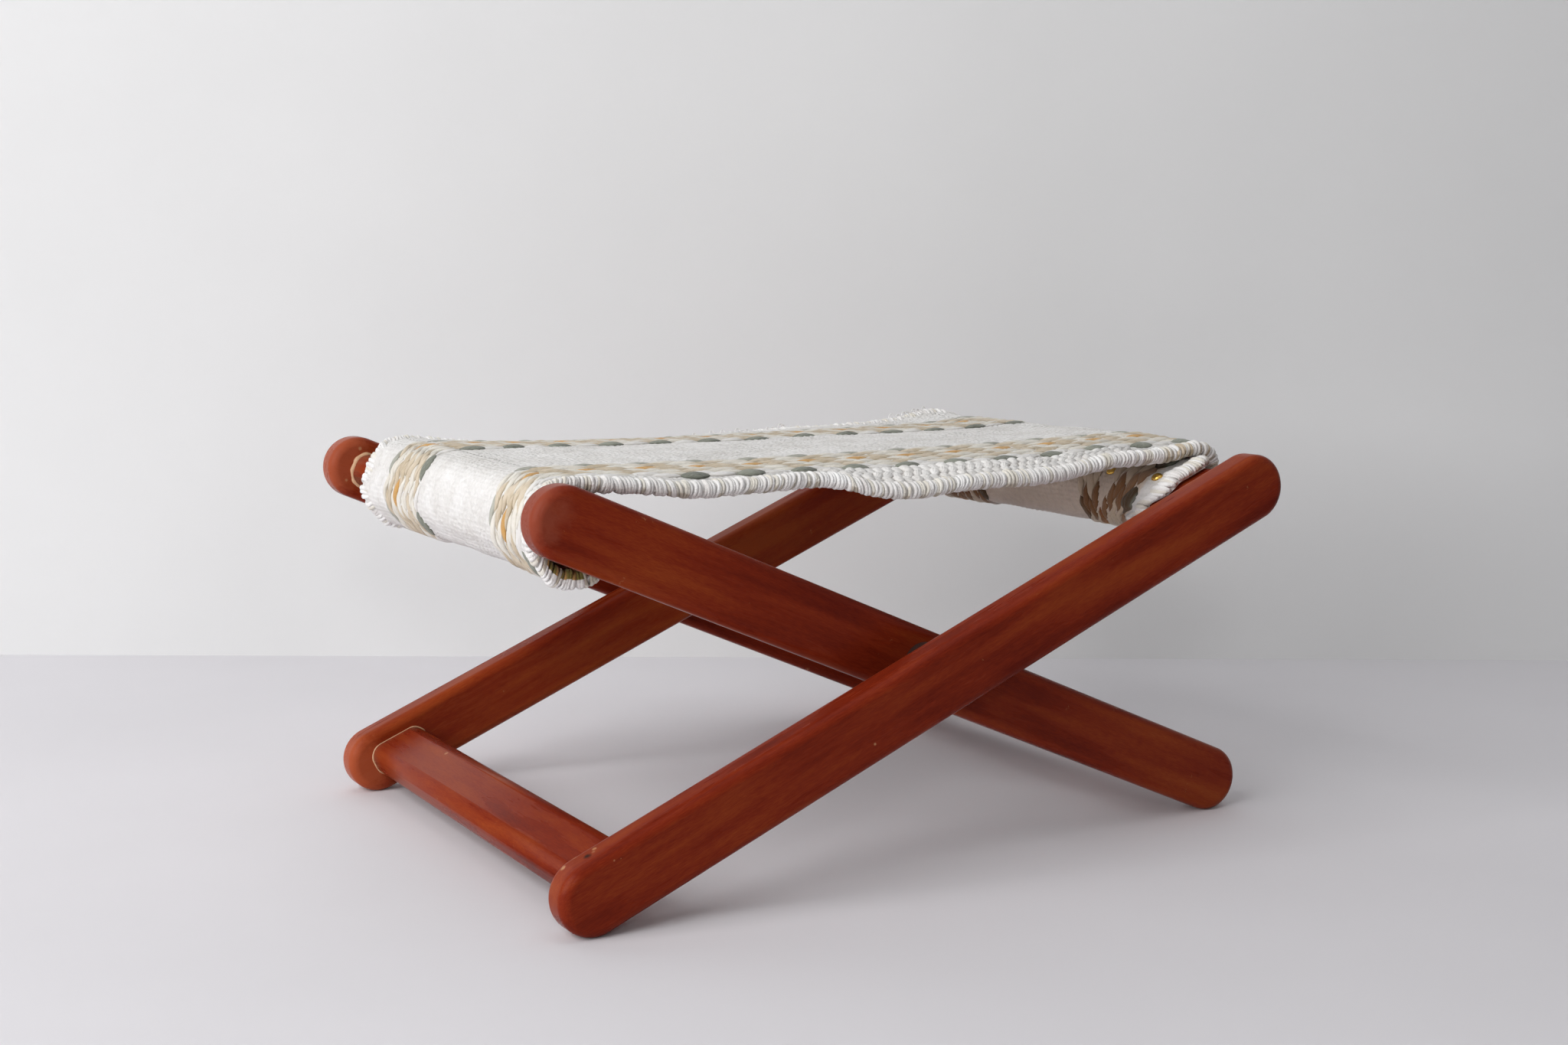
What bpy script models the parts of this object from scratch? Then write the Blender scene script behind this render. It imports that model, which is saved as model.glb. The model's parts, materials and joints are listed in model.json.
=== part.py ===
"""Folding footstool: two crossed wooden frames on a common pivot, with a woven sling as the seat.

Units are metres, +Z up. X runs along the length of the stool, Y across it, and the origin is on the
floor under the middle. Each frame is two legs joined by two rails, and the second frame is the first
one turned half round the vertical, so both are built by one function in the frame's own axes:
x runs up along the legs from the pivot, y across the stool, z square to the legs' upper edge.
"""
import math

import bmesh
import bpy
from mathutils import Matrix, Vector

# Legs: flat bars with half-round ends
LEG_LENGTH = 0.580
LEG_WIDTH = 0.045
LEG_THICKNESS = 0.0235
LEG_ROUNDOVER = 0.0065
LEG_SLOPE = math.radians(23.2)
PIVOT_OFFSET = 0.0015        # pivot above the middle of the leg's length
OVERALL_WIDTH = 0.441        # across the outer faces of the outer legs
LEG_SPACE = 0.0175           # free width between an outer and an inner leg

# Rails: they join the legs of a frame near both ends
RAIL_WIDTH = 0.0425
RAIL_THICKNESS = 0.024
RAIL_ROUNDOVER = 0.010
RAIL_INSET = 0.018           # from the leg's end to the rail's outer edge

# Dowels: two in each joint of a rail and a leg
DOWEL_DIAMETER = 0.008
DOWEL_LENGTH = 0.040
DOWEL_IN_LEG = 0.016
DOWEL_SPACING = 0.020
DOWEL_CHAMFER = 0.0008

# Pivot on each side: a bolt through the inner leg, screwed into an insert in the outer leg
BOLT_DIAMETER = 0.008
BOLT_HEAD_DIAMETER = 0.018
BOLT_HEAD_HEIGHT = 0.004
HEX_SOCKET = 0.005           # across the flats
HEX_SOCKET_DEPTH = 0.0025
WASHER_DIAMETER = 0.024
WASHER_THICKNESS = 0.0015
SPACER_DIAMETER = 0.030
INSERT_DIAMETER = 0.013
INSERT_LENGTH = 0.015
BOLT_TIP_SPACE = 0.0015      # from the bolt's tip to the bottom of the insert's hole

# Dome-headed tacks that hold the sling's flap to the upper face of each top rail
TACK_COUNT = 7
TACK_HEAD_DIAMETER = 0.008
TACK_HEAD_HEIGHT = 0.0022
TACK_SHANK_DIAMETER = 0.0016
TACK_LENGTH = 0.016
TACK_POINT = 0.003
TACK_MARGIN = 0.0175         # from the flap's selvedge to the first tack
TACK_FROM_RAIL_EDGE = 0.006  # from the rail's inner edge

# Sling: hand-woven cloth with a thick whipped selvedge
CLOTH_THICKNESS = 0.005
SELVEDGE_THICKNESS = 0.009
SELVEDGE_WIDTH = 0.008
SEAT_LAYER_RISE = 0.0017     # extra space between the flap and the layer that passes over it
WRAP_LIP = 0.0125            # from the rail's top to the line where a wrap meets the seat
SEAT_SAG = 0.003
NEAR_EDGE_DROP = 0.009       # how far the seat's edges hang below its middle line
FAR_EDGE_DROP = 0.005
FLAP_END_ANGLE = 50          # degrees round the rail's outer top corner, from straight out
LIFT_START_ANGLE = -20       # where the cloth starts to leave the rail, to pass over the flap's end
LIFT_END_ANGLE = 42
LEFT_NEAR_SPACE = 0.006      # left wrap: from its near selvedge to the inner leg
LEFT_FAR_SPACE = 0.039       # and from its far selvedge to the outer leg
LEFT_SLACK = 0.0105          # the left wrap hangs this far below its rail
LEFT_END_SLACK = 0.006       # and further at its near end
LEFT_END_REACH = 0.035       # over about this length
RIGHT_NEAR_SPACE = 0.034     # right wrap: from its near selvedge to the outer leg, where it meets the seat
RIGHT_FAR_SPACE = 0.0015     # and from its far selvedge to the inner leg
FLAP_TOP_SPACE = 0.045       # from the right flap's near selvedge to the outer leg at its cut end
FLAP_LOW_SPACE = 0.022       # and at the rail's inner edge
FLAP_SHARE = 0.25            # how much of the wrap's way round the rail is the flap

# Fits
CLEARANCE = 0.0003           # between a piece and its seat

# Roundness, in facets
LEG_END_STEPS = 16
ROUNDOVER_STEPS = 2
RAIL_CORNER_STEPS = 6
DOWEL_SIDES = 14
TURNED_SIDES = 24
TACK_SIDES = 10
WRAP_COLUMNS = 8
SEAT_COLUMNS = 10
SEAT_ROWS = 18

# Worked out from the sizes above
OUTER_LEG_Y = OVERALL_WIDTH / 2 - LEG_THICKNESS / 2
INNER_LEG_Y = OUTER_LEG_Y - LEG_THICKNESS - LEG_SPACE
TOP_REACH = LEG_LENGTH / 2 - PIVOT_OFFSET
FOOT_REACH = LEG_LENGTH / 2 + PIVOT_OFFSET
TOP_RAIL_X = TOP_REACH - RAIL_INSET - RAIL_WIDTH / 2
FOOT_RAIL_X = -(FOOT_REACH - RAIL_INSET - RAIL_WIDTH / 2)
PIVOT_HEIGHT = (FOOT_REACH - LEG_WIDTH / 2) * math.sin(LEG_SLOPE) + LEG_WIDTH / 2
RAIL_START_Y = -(OUTER_LEG_Y - LEG_THICKNESS / 2)
RAIL_END_Y = INNER_LEG_Y - LEG_THICKNESS / 2
SEAT_LAYER = CLEARANCE + SELVEDGE_THICKNESS + SEAT_LAYER_RISE
DOWEL_IN_RAIL = DOWEL_LENGTH - DOWEL_IN_LEG
RAIL_HIGHEST_X = (TOP_RAIL_X + RAIL_WIDTH / 2 - RAIL_ROUNDOVER) * math.cos(LEG_SLOPE) \
    - (RAIL_THICKNESS / 2 - RAIL_ROUNDOVER) * math.sin(LEG_SLOPE)
RAIL_HIGHEST_Z = (TOP_RAIL_X + RAIL_WIDTH / 2 - RAIL_ROUNDOVER) * math.sin(LEG_SLOPE) \
    + (RAIL_THICKNESS / 2 - RAIL_ROUNDOVER) * math.cos(LEG_SLOPE) + RAIL_ROUNDOVER + PIVOT_HEIGHT
SEAT_HALF_LENGTH = RAIL_HIGHEST_X - WRAP_LIP
LEFT_NEAR_EDGE = -RAIL_END_Y + LEFT_NEAR_SPACE
LEFT_FAR_EDGE = -RAIL_START_Y - LEFT_FAR_SPACE
RIGHT_NEAR_EDGE = RAIL_START_Y + RIGHT_NEAR_SPACE
RIGHT_FAR_EDGE = RAIL_END_Y - RIGHT_FAR_SPACE
FLAP_TOP_EDGE = RAIL_START_Y + FLAP_TOP_SPACE
FLAP_LOW_EDGE = RAIL_START_Y + FLAP_LOW_SPACE

for old in list(bpy.data.objects):
    bpy.data.objects.remove(old)

parts = bpy.data.collections.new("folding_footstool")
cutters = bpy.data.collections.new("cutters")
for collection in (parts, cutters):
    bpy.context.scene.collection.children.link(collection)


def make_material(name, color, roughness, metallic=0.0):
    material = bpy.data.materials.new(name)
    material.use_nodes = True
    shader = material.node_tree.nodes["Principled BSDF"]
    shader.inputs["Base Color"].default_value = (*color, 1.0)
    shader.inputs["Roughness"].default_value = roughness
    shader.inputs["Metallic"].default_value = metallic
    return material


LEG_WOOD = make_material("leg_wood", (0.155, 0.022, 0.012), 0.38)
RAIL_WOOD = make_material("rail_wood", (0.165, 0.028, 0.018), 0.45)
DOWEL_WOOD = make_material("dowel_wood", (0.55, 0.38, 0.22), 0.65)
STEEL = make_material("bolt_steel", (0.50, 0.50, 0.51), 0.35, 1.0)
WASHER_STEEL = make_material("washer_steel", (0.58, 0.58, 0.58), 0.40, 1.0)
SPACER_NYLON = make_material("spacer_nylon", (0.045, 0.030, 0.026), 0.50)
INSERT_BRASS = make_material("insert_brass", (0.60, 0.42, 0.16), 0.40, 1.0)
TACK_BRASS = make_material("tack_brass", (0.68, 0.48, 0.20), 0.28, 1.0)
CLOTH = make_material("sling_cloth", (0.72, 0.66, 0.55), 0.90)


def add_object(name, mesh, material, parent=None, collection=parts):
    piece = bpy.data.objects.new(name, mesh)
    collection.objects.link(piece)
    if material is not None:
        mesh.materials.append(material)
    piece.parent = parent
    return piece


def smooth(piece, sharp_angle=35):
    piece.data.shade_smooth()
    piece.data.set_sharp_from_angle(angle=math.radians(sharp_angle))


def arc(center, radius, start, stop, steps):
    """Points of an arc in a plane, both ends included; angles in degrees."""
    points = []
    for step in range(steps + 1):
        angle = math.radians(start + (stop - start) * step / steps)
        points.append((center[0] + radius * math.cos(angle), center[1] + radius * math.sin(angle)))
    return points


def flat_bar(name, outline, thickness, roundover, material, parent):
    """A closed outline in the frame's x and z, thickened along y, with its rims rounded over."""
    curve = bpy.data.curves.new(name, "CURVE")
    curve.dimensions = "2D"
    curve.fill_mode = "BOTH"
    curve.extrude = thickness / 2 - roundover
    curve.bevel_depth = roundover
    curve.bevel_resolution = ROUNDOVER_STEPS
    curve.offset = -roundover
    spline = curve.splines.new("POLY")
    spline.points.add(len(outline) - 1)
    for point, (x, z) in zip(spline.points, outline):
        point.co = (x, z, 0.0, 1.0)
    spline.use_cyclic_u = True
    source = bpy.data.objects.new(name + "_curve", curve)
    parts.objects.link(source)
    source.rotation_euler = (math.pi / 2, 0, 0)
    bpy.context.view_layer.update()
    evaluated = source.evaluated_get(bpy.context.evaluated_depsgraph_get())
    mesh = bpy.data.meshes.new_from_object(evaluated)
    mesh.materials.clear()
    mesh.name = name
    shape = bmesh.new()
    shape.from_mesh(mesh)
    bmesh.ops.remove_doubles(shape, verts=shape.verts, dist=0.00001)
    bmesh.ops.recalc_face_normals(shape, faces=shape.faces)
    shape.to_mesh(mesh)
    shape.free()
    bar = add_object(name, mesh, material, parent)
    bar.matrix_local = source.matrix_world
    bpy.data.objects.remove(source)
    smooth(bar)
    return bar


def turned(name, profile, sides, material, parent, closed=False):
    """A profile of (radius, height) points, turned round the object's z."""
    mesh = bpy.data.meshes.new(name)
    edges = [(i, i + 1) for i in range(len(profile) - 1)]
    if closed:
        edges.append((len(profile) - 1, 0))
    mesh.from_pydata([(radius, 0, height) for radius, height in profile], edges, [])
    piece = add_object(name, mesh, material, parent)
    screw = piece.modifiers.new("turn", "SCREW")
    screw.axis = "Z"
    screw.angle = 2 * math.pi
    screw.steps = sides
    screw.render_steps = sides
    screw.use_merge_vertices = True
    screw.merge_threshold = 0.00001
    return piece


def ring_profile(outer_radius, inner_radius, length):
    return [(outer_radius, length / 2), (outer_radius, -length / 2),
            (inner_radius, -length / 2), (inner_radius, length / 2)]


def drill(target, holes, sides):
    """Cut round holes, each given as its two end points and its radius, in the target's parent axes."""
    mesh = bpy.data.meshes.new(target.name + "_holes")
    shape = bmesh.new()
    for start, end, radius in holes:
        start = Vector(start)
        direction = Vector(end) - start
        turn = direction.to_track_quat("Z", "Y").to_matrix().to_4x4()
        bmesh.ops.create_cone(shape, cap_ends=True, segments=sides, radius1=radius, radius2=radius,
                              depth=direction.length,
                              matrix=Matrix.Translation(start + direction / 2) @ turn)
    shape.to_mesh(mesh)
    shape.free()
    cutter = add_object(mesh.name, mesh, None, target.parent, cutters)
    cutter.hide_render = True
    cutter.display_type = "WIRE"
    cut = target.modifiers.new("holes", "BOOLEAN")
    cut.operation = "DIFFERENCE"
    cut.solver = "EXACT"
    cut.object = cutter


def leg_outline():
    radius = LEG_WIDTH / 2
    top = arc((TOP_REACH - radius, 0), radius, -90, 90, LEG_END_STEPS)
    foot = arc((-FOOT_REACH + radius, 0), radius, 90, 270, LEG_END_STEPS)
    return top + foot


def rail_corners():
    """Centres of the rail section's four round corners: outer top, inner top, inner low, outer low."""
    x = RAIL_WIDTH / 2 - RAIL_ROUNDOVER
    z = RAIL_THICKNESS / 2 - RAIL_ROUNDOVER
    return [(x, z), (-x, z), (-x, -z), (x, -z)]


def rail_outline(rail_x):
    points = []
    for quarter, (x, z) in enumerate(rail_corners()):
        points += arc((rail_x + x, z), RAIL_ROUNDOVER, 90 * quarter, 90 * quarter + 90, RAIL_CORNER_STEPS)
    return points


def dowel_places():
    """(rail, number, x, side): side -1 is the joint with the outer leg, 1 the one with the inner leg."""
    places = []
    for rail, rail_x in (("top", TOP_RAIL_X), ("foot", FOOT_RAIL_X)):
        for side in (-1, 1):
            for number, shift in ((1, -DOWEL_SPACING / 2), (2, DOWEL_SPACING / 2)):
                places.append((rail, number, rail_x + shift, side))
    return places


def joint_face(side):
    """y of the leg's inside face at a rail's end."""
    return RAIL_START_Y if side < 0 else RAIL_END_Y


def make_leg(name, y, side, parent):
    """side -1 is a frame's outer leg, 1 its inner leg."""
    leg = flat_bar(name, leg_outline(), LEG_THICKNESS, LEG_ROUNDOVER, LEG_WOOD, parent)
    leg.location.y = y
    face = joint_face(side)
    holes = []
    for _, _, x, joint_side in dowel_places():
        if joint_side == side:
            depth = side * (DOWEL_IN_LEG + CLEARANCE)
            start = (x, face - side * CLEARANCE, 0)
            holes.append((start, (x, face + depth, 0), DOWEL_DIAMETER / 2 + CLEARANCE))
    drill(leg, holes, DOWEL_SIDES)
    if side < 0:
        depth = INSERT_LENGTH + CLEARANCE
        pivot = ((0, face + CLEARANCE, 0), (0, face - depth, 0), INSERT_DIAMETER / 2 + CLEARANCE)
    else:
        reach = LEG_THICKNESS / 2 + CLEARANCE
        pivot = ((0, y - reach, 0), (0, y + reach, 0), BOLT_DIAMETER / 2 + CLEARANCE)
    drill(leg, [pivot], TURNED_SIDES)
    return leg


def make_rail(name, rail, rail_x, parent):
    length = RAIL_END_Y - RAIL_START_Y - 2 * CLEARANCE
    body = flat_bar(name, rail_outline(rail_x), length, 0, RAIL_WOOD, parent)
    body.location.y = (RAIL_START_Y + RAIL_END_Y) / 2
    holes = []
    for owner, _, x, side in dowel_places():
        if owner == rail:
            end = joint_face(side)
            bottom = end - side * (DOWEL_IN_RAIL + CLEARANCE)
            holes.append(((x, end, 0), (x, bottom, 0), DOWEL_DIAMETER / 2 + CLEARANCE))
    drill(body, holes, DOWEL_SIDES)
    return body


def make_dowels(frame, parent):
    radius = DOWEL_DIAMETER / 2
    half = DOWEL_LENGTH / 2
    profile = [(0, half), (radius - DOWEL_CHAMFER, half), (radius, half - DOWEL_CHAMFER),
               (radius, -half + DOWEL_CHAMFER), (radius - DOWEL_CHAMFER, -half), (0, -half)]
    for rail, number, x, side in dowel_places():
        leg = "outer" if side < 0 else "inner"
        name = f"dowel_{frame}_{rail}_{leg}_{number}"
        dowel = turned(name, profile, DOWEL_SIDES, DOWEL_WOOD, parent)
        dowel.rotation_euler = (math.pi / 2, 0, 0)
        dowel.location = (x, joint_face(side) + side * (DOWEL_IN_LEG - half), 0)


def make_pivot(frame, parent):
    """The bolt and what goes with it, all on the pivot's axis, held by the frame's outer leg."""
    outer_face = RAIL_START_Y
    inner_leg_inside = -(INNER_LEG_Y - LEG_THICKNESS / 2)
    along_y = (math.pi / 2, 0, 0)

    insert_radius = BOLT_DIAMETER / 2 + CLEARANCE
    insert = turned(f"threaded_insert_{frame}", ring_profile(INSERT_DIAMETER / 2, insert_radius, INSERT_LENGTH),
                    TURNED_SIDES, INSERT_BRASS, parent, closed=True)
    insert.rotation_euler = along_y
    insert.location.y = outer_face - INSERT_LENGTH / 2

    spacer_length = LEG_SPACE - 2 * CLEARANCE
    spacer = turned(f"pivot_spacer_{frame}", ring_profile(SPACER_DIAMETER / 2, insert_radius, spacer_length),
                    TURNED_SIDES, SPACER_NYLON, parent, closed=True)
    spacer.rotation_euler = along_y
    spacer.location.y = outer_face + LEG_SPACE / 2

    washer_low = inner_leg_inside + CLEARANCE
    washer = turned(f"pivot_washer_{frame}", ring_profile(WASHER_DIAMETER / 2, insert_radius, WASHER_THICKNESS),
                    TURNED_SIDES, WASHER_STEEL, parent, closed=True)
    washer.rotation_euler = along_y
    washer.location.y = washer_low + WASHER_THICKNESS / 2

    head_low = washer_low + WASHER_THICKNESS + CLEARANCE
    head_high = head_low + BOLT_HEAD_HEIGHT
    tip = outer_face - INSERT_LENGTH + BOLT_TIP_SPACE
    head = BOLT_HEAD_DIAMETER / 2
    shank = BOLT_DIAMETER / 2
    edge = BOLT_HEAD_HEIGHT / 3
    profile = [(0, head_high), (head - edge, head_high), (head, head_high - edge), (head, head_low),
               (shank, head_low), (shank, tip + DOWEL_CHAMFER), (shank - DOWEL_CHAMFER, tip), (0, tip)]
    bolt = turned(f"pivot_bolt_{frame}", profile, TURNED_SIDES, STEEL, parent)
    bolt.rotation_euler = (-math.pi / 2, 0, 0)
    socket = HEX_SOCKET / 2 / math.cos(math.pi / 6)
    drill(bolt, [((0, head_high - HEX_SOCKET_DEPTH, 0), (0, head_high + CLEARANCE, 0), socket)], 6)


def tack_x():
    return TOP_RAIL_X - RAIL_WIDTH / 2 + TACK_FROM_RAIL_EDGE


def tack_places(low_edge, high_edge):
    first = low_edge + TACK_MARGIN
    last = high_edge - TACK_MARGIN
    return [first + (last - first) * i / (TACK_COUNT - 1) for i in range(TACK_COUNT)]


def make_tacks(frame, places, rail, wrap, parent):
    seat = RAIL_THICKNESS / 2 + CLEARANCE + CLOTH_THICKNESS + CLEARANCE
    head = TACK_HEAD_DIAMETER / 2
    shank = TACK_SHANK_DIAMETER / 2
    dome = [(head * math.cos(math.radians(a)), TACK_HEAD_HEIGHT * math.sin(math.radians(a)))
            for a in (90, 60, 30, 0)]
    dome[0] = (0, TACK_HEAD_HEIGHT)
    profile = dome + [(shank, 0), (shank, -TACK_LENGTH + TACK_POINT), (0, -TACK_LENGTH)]
    holes = []
    for number, y in enumerate(places, 1):
        tack = turned(f"tack_{frame}_{number}", profile, TACK_SIDES, TACK_BRASS, parent)
        tack.location = (tack_x(), y, seat)
        bottom = seat - TACK_LENGTH - CLEARANCE
        holes.append(((tack_x(), y, bottom), (tack_x(), y, seat + CLEARANCE), shank + CLEARANCE))
    for target in (rail, wrap):
        drill(target, holes, TACK_SIDES)


def cloth(name, stations, columns, place, parent):
    """A sheet of stations by columns: place gives its inner face, and the thickness lies outside that.

    place takes a station and a column's fraction across the sheet. Each sheet starts where its
    outside faces up.
    """
    mesh = bpy.data.meshes.new(name)
    shape = bmesh.new()
    bmesh.ops.create_grid(shape, x_segments=len(stations) - 1, y_segments=len(columns) - 1, size=1)
    bead = []
    for vert in shape.verts:
        row = round((vert.co.x + 1) / 2 * (len(stations) - 1))
        column = round((vert.co.y + 1) / 2 * (len(columns) - 1))
        vert.co = place(stations[row], columns[column])
        if column in (1, len(columns) - 2):
            bead.append(vert.index)
    shape.normal_update()
    shape.faces.ensure_lookup_table()
    if shape.faces[0].normal.z < 0:
        bmesh.ops.reverse_faces(shape, faces=shape.faces)
    shape.to_mesh(mesh)
    shape.free()
    sheet = add_object(name, mesh, CLOTH, parent)
    group = sheet.vertex_groups.new(name="selvedge")
    group.add(bead, 1.0, "REPLACE")
    thicken = sheet.modifiers.new("thickness", "SOLIDIFY")
    thicken.thickness = SELVEDGE_THICKNESS
    thicken.offset = 1
    thicken.vertex_group = group.name
    thicken.thickness_vertex_group = CLOTH_THICKNESS / SELVEDGE_THICKNESS
    mesh.shade_smooth()
    return sheet


def column_fractions(count, width):
    """Fractions across a sheet: the selvedge's edge, its thickest line, its inner edge, then even."""
    bead = SELVEDGE_WIDTH / 2 / width
    edge = SELVEDGE_WIDTH / width
    middle = [edge + (1 - 2 * edge) * i / count for i in range(count + 1)]
    return [0, bead] + middle + [1 - bead, 1]


def smoothstep(value):
    value = min(max(value, 0.0), 1.0)
    return value * value * (3 - 2 * value)


def wrap_stations():
    """The wrap's way round the rail: (corner centre, angle, lift, slack share, path fraction).

    It starts at the flap's cut end over the outer top corner, runs inward over the upper face, round
    the inner edge, back under the rail and up the outer side, and passes over the flap's end. Angles
    are in degrees, counted on from the flap's end, so that they pass 360 on the way up.
    """
    outer_top, inner_top, inner_low, outer_low = rail_corners()
    leave = 360 + 90 - math.degrees(LEG_SLOPE)
    stretches = [(outer_top, outer_top, FLAP_END_ANGLE, 90, 3), (outer_top, inner_top, 90, 90, 4),
                 (inner_top, inner_top, 90, 180, 5), (inner_top, inner_low, 180, 180, 1),
                 (inner_low, inner_low, 180, 270, 5), (inner_low, outer_low, 270, 270, 6),
                 (outer_low, outer_low, 270, 360, 5), (outer_low, outer_top, 360, 360, 1),
                 (outer_top, outer_top, 360, leave, 6)]
    path = []
    for start, stop, start_angle, stop_angle, steps in stretches:
        for step in range(steps + 1):
            share = step / steps
            center = (start[0] + (stop[0] - start[0]) * share, start[1] + (stop[1] - start[1]) * share)
            point = (center, start_angle + (stop_angle - start_angle) * share)
            if not path or point != path[-1]:
                path.append(point)
    stations = []
    for index, (center, angle) in enumerate(path):
        rise = smoothstep((angle - 360 - LIFT_START_ANGLE) / (LIFT_END_ANGLE - LIFT_START_ANGLE))
        lift = CLEARANCE + (SEAT_LAYER - CLEARANCE) * rise
        slack = 0.0
        if 180 < angle < 360:
            x = center[0] + RAIL_ROUNDOVER * math.cos(math.radians(angle))
            slack = math.sin(math.pi * (x / RAIL_WIDTH + 0.5)) ** 2
        stations.append((center, angle, lift, slack, index / len(path)))
    return stations


def wrap_point(center, angle, lift):
    reach = RAIL_ROUNDOVER + lift
    x = TOP_RAIL_X + center[0] + reach * math.cos(math.radians(angle))
    z = center[1] + reach * math.sin(math.radians(angle))
    return x, z


def make_wrap(name, low_edge, high_edge, slack_at, parent):
    """low_edge and high_edge give a selvedge's y from the path fraction; slack_at the slack from y."""
    stations = wrap_stations()
    center, angle, lift, _, _ = stations[-1]
    leave_x, leave_z = wrap_point(center, angle, lift)
    lip = WRAP_LIP - CLEARANCE / 2
    stations.append(("lip", lip / 2))
    stations.append(("lip", lip))

    def place(station, fraction):
        if station[0] == "lip":
            x = leave_x - station[1] * math.cos(LEG_SLOPE)
            z = leave_z + station[1] * math.sin(LEG_SLOPE)
            return x, low_edge(1.0) + (high_edge(1.0) - low_edge(1.0)) * fraction, z
        center, angle, lift, slack, share = station
        y = low_edge(share) + (high_edge(share) - low_edge(share)) * fraction
        x, z = wrap_point(center, angle, lift + slack * slack_at(y))
        return x, y, z

    columns = column_fractions(WRAP_COLUMNS, high_edge(1.0) - low_edge(1.0))
    return cloth(name, stations, columns, place, parent)


def make_seat(name):
    half = SEAT_HALF_LENGTH - CLEARANCE / 2
    stations = [-half + 2 * half * i / SEAT_ROWS for i in range(SEAT_ROWS + 1)]
    height = RAIL_HIGHEST_Z + SEAT_LAYER

    def place(x, fraction):
        share = (x / SEAT_HALF_LENGTH + 1) / 2
        near = LEFT_NEAR_EDGE + (RIGHT_NEAR_EDGE - LEFT_NEAR_EDGE) * share
        far = LEFT_FAR_EDGE + (RIGHT_FAR_EDGE - LEFT_FAR_EDGE) * share
        y = near + (far - near) * fraction
        drop = NEAR_EDGE_DROP if fraction < 0.5 else FAR_EDGE_DROP
        hang = SEAT_SAG + drop * abs(2 * fraction - 1) ** 3
        z = height - hang * (1 - (x / half) ** 2)
        return x, y, z

    columns = column_fractions(SEAT_COLUMNS, RIGHT_FAR_EDGE - RIGHT_NEAR_EDGE)
    return cloth(name, stations, columns, place, None)


def between(start, stop):
    return lambda share: start + (stop - start) * share


def right_near_edge(share):
    """The flap's selvedge runs askew over the upper face, and back again on the way round."""
    if share < FLAP_SHARE:
        return FLAP_TOP_EDGE + (FLAP_LOW_EDGE - FLAP_TOP_EDGE) * share / FLAP_SHARE
    way_round = (share - FLAP_SHARE) / (1 - FLAP_SHARE)
    return FLAP_LOW_EDGE + (RIGHT_NEAR_EDGE - FLAP_LOW_EDGE) * way_round


def left_slack(y):
    """y is in the turned frame's own axes, where the near end lies at the high side."""
    return LEFT_SLACK + LEFT_END_SLACK * math.exp((y + LEFT_NEAR_EDGE) / LEFT_END_REACH)


def no_slack(y):
    return 0.0


def make_frame(frame, turn):
    axis = bpy.data.objects.new(f"pivot_axis_{frame}", None)
    parts.objects.link(axis)
    axis.location = (0, 0, PIVOT_HEIGHT)
    axis.rotation_euler = (0, -LEG_SLOPE, turn)
    make_leg(f"outer_leg_{frame}", -OUTER_LEG_Y, -1, axis)
    make_leg(f"inner_leg_{frame}", INNER_LEG_Y, 1, axis)
    top_rail = make_rail(f"top_rail_{frame}", "top", TOP_RAIL_X, axis)
    make_rail(f"foot_rail_{frame}", "foot", FOOT_RAIL_X, axis)
    make_dowels(frame, axis)
    make_pivot(frame, axis)
    return axis, top_rail


axis_a, top_rail_a = make_frame("a", 0)
right_wrap = make_wrap("sling_wrap_right", right_near_edge, between(RIGHT_FAR_EDGE, RIGHT_FAR_EDGE),
                       no_slack, axis_a)
make_tacks("right", tack_places(FLAP_LOW_EDGE, RIGHT_FAR_EDGE), top_rail_a, right_wrap, axis_a)

axis_b, top_rail_b = make_frame("b", math.pi)
left_wrap = make_wrap("sling_wrap_left", between(-LEFT_FAR_EDGE, -LEFT_FAR_EDGE),
                      between(-LEFT_NEAR_EDGE, -LEFT_NEAR_EDGE), left_slack, axis_b)
make_tacks("left", tack_places(-LEFT_FAR_EDGE, -LEFT_NEAR_EDGE), top_rail_b, left_wrap, axis_b)

make_seat("sling_seat")
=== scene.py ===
# %% [markdown]
# # A folding footstool with a woven sling
# The wooden frames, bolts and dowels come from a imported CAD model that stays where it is. This script
# adds what the CAD leaves out: finely rounded bars, the stain and wear of the wood, domed tacks, and a
# thick hand-woven cloth with raised stripes and whipped selvedges. Everything is in metres.

# %% Load the frame
import json
import math

import bmesh
import bpy
import numpy as np
from mathutils import Matrix, Vector


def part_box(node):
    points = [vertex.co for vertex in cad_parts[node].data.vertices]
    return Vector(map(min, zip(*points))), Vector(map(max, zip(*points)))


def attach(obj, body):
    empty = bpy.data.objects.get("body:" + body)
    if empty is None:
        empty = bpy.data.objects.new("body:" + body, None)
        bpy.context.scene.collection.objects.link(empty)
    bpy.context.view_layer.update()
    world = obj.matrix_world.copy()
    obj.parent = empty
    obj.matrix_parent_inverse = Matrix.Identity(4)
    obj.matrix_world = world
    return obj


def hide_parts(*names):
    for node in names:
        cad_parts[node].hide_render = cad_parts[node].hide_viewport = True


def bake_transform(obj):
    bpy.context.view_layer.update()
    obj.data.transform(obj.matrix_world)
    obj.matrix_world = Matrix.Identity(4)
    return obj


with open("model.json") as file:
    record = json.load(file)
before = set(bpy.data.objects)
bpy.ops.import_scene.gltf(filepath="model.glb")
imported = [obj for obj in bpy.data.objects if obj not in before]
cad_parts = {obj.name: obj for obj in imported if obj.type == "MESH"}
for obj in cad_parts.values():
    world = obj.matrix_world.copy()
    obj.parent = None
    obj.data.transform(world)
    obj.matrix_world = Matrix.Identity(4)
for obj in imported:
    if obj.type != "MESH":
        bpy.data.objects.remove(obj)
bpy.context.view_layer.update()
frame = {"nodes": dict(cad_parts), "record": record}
MM = 0.001
PIVOT_Z = frame["record"]["behaviour"]["joints"][0]["pos_m"][2]
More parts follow.
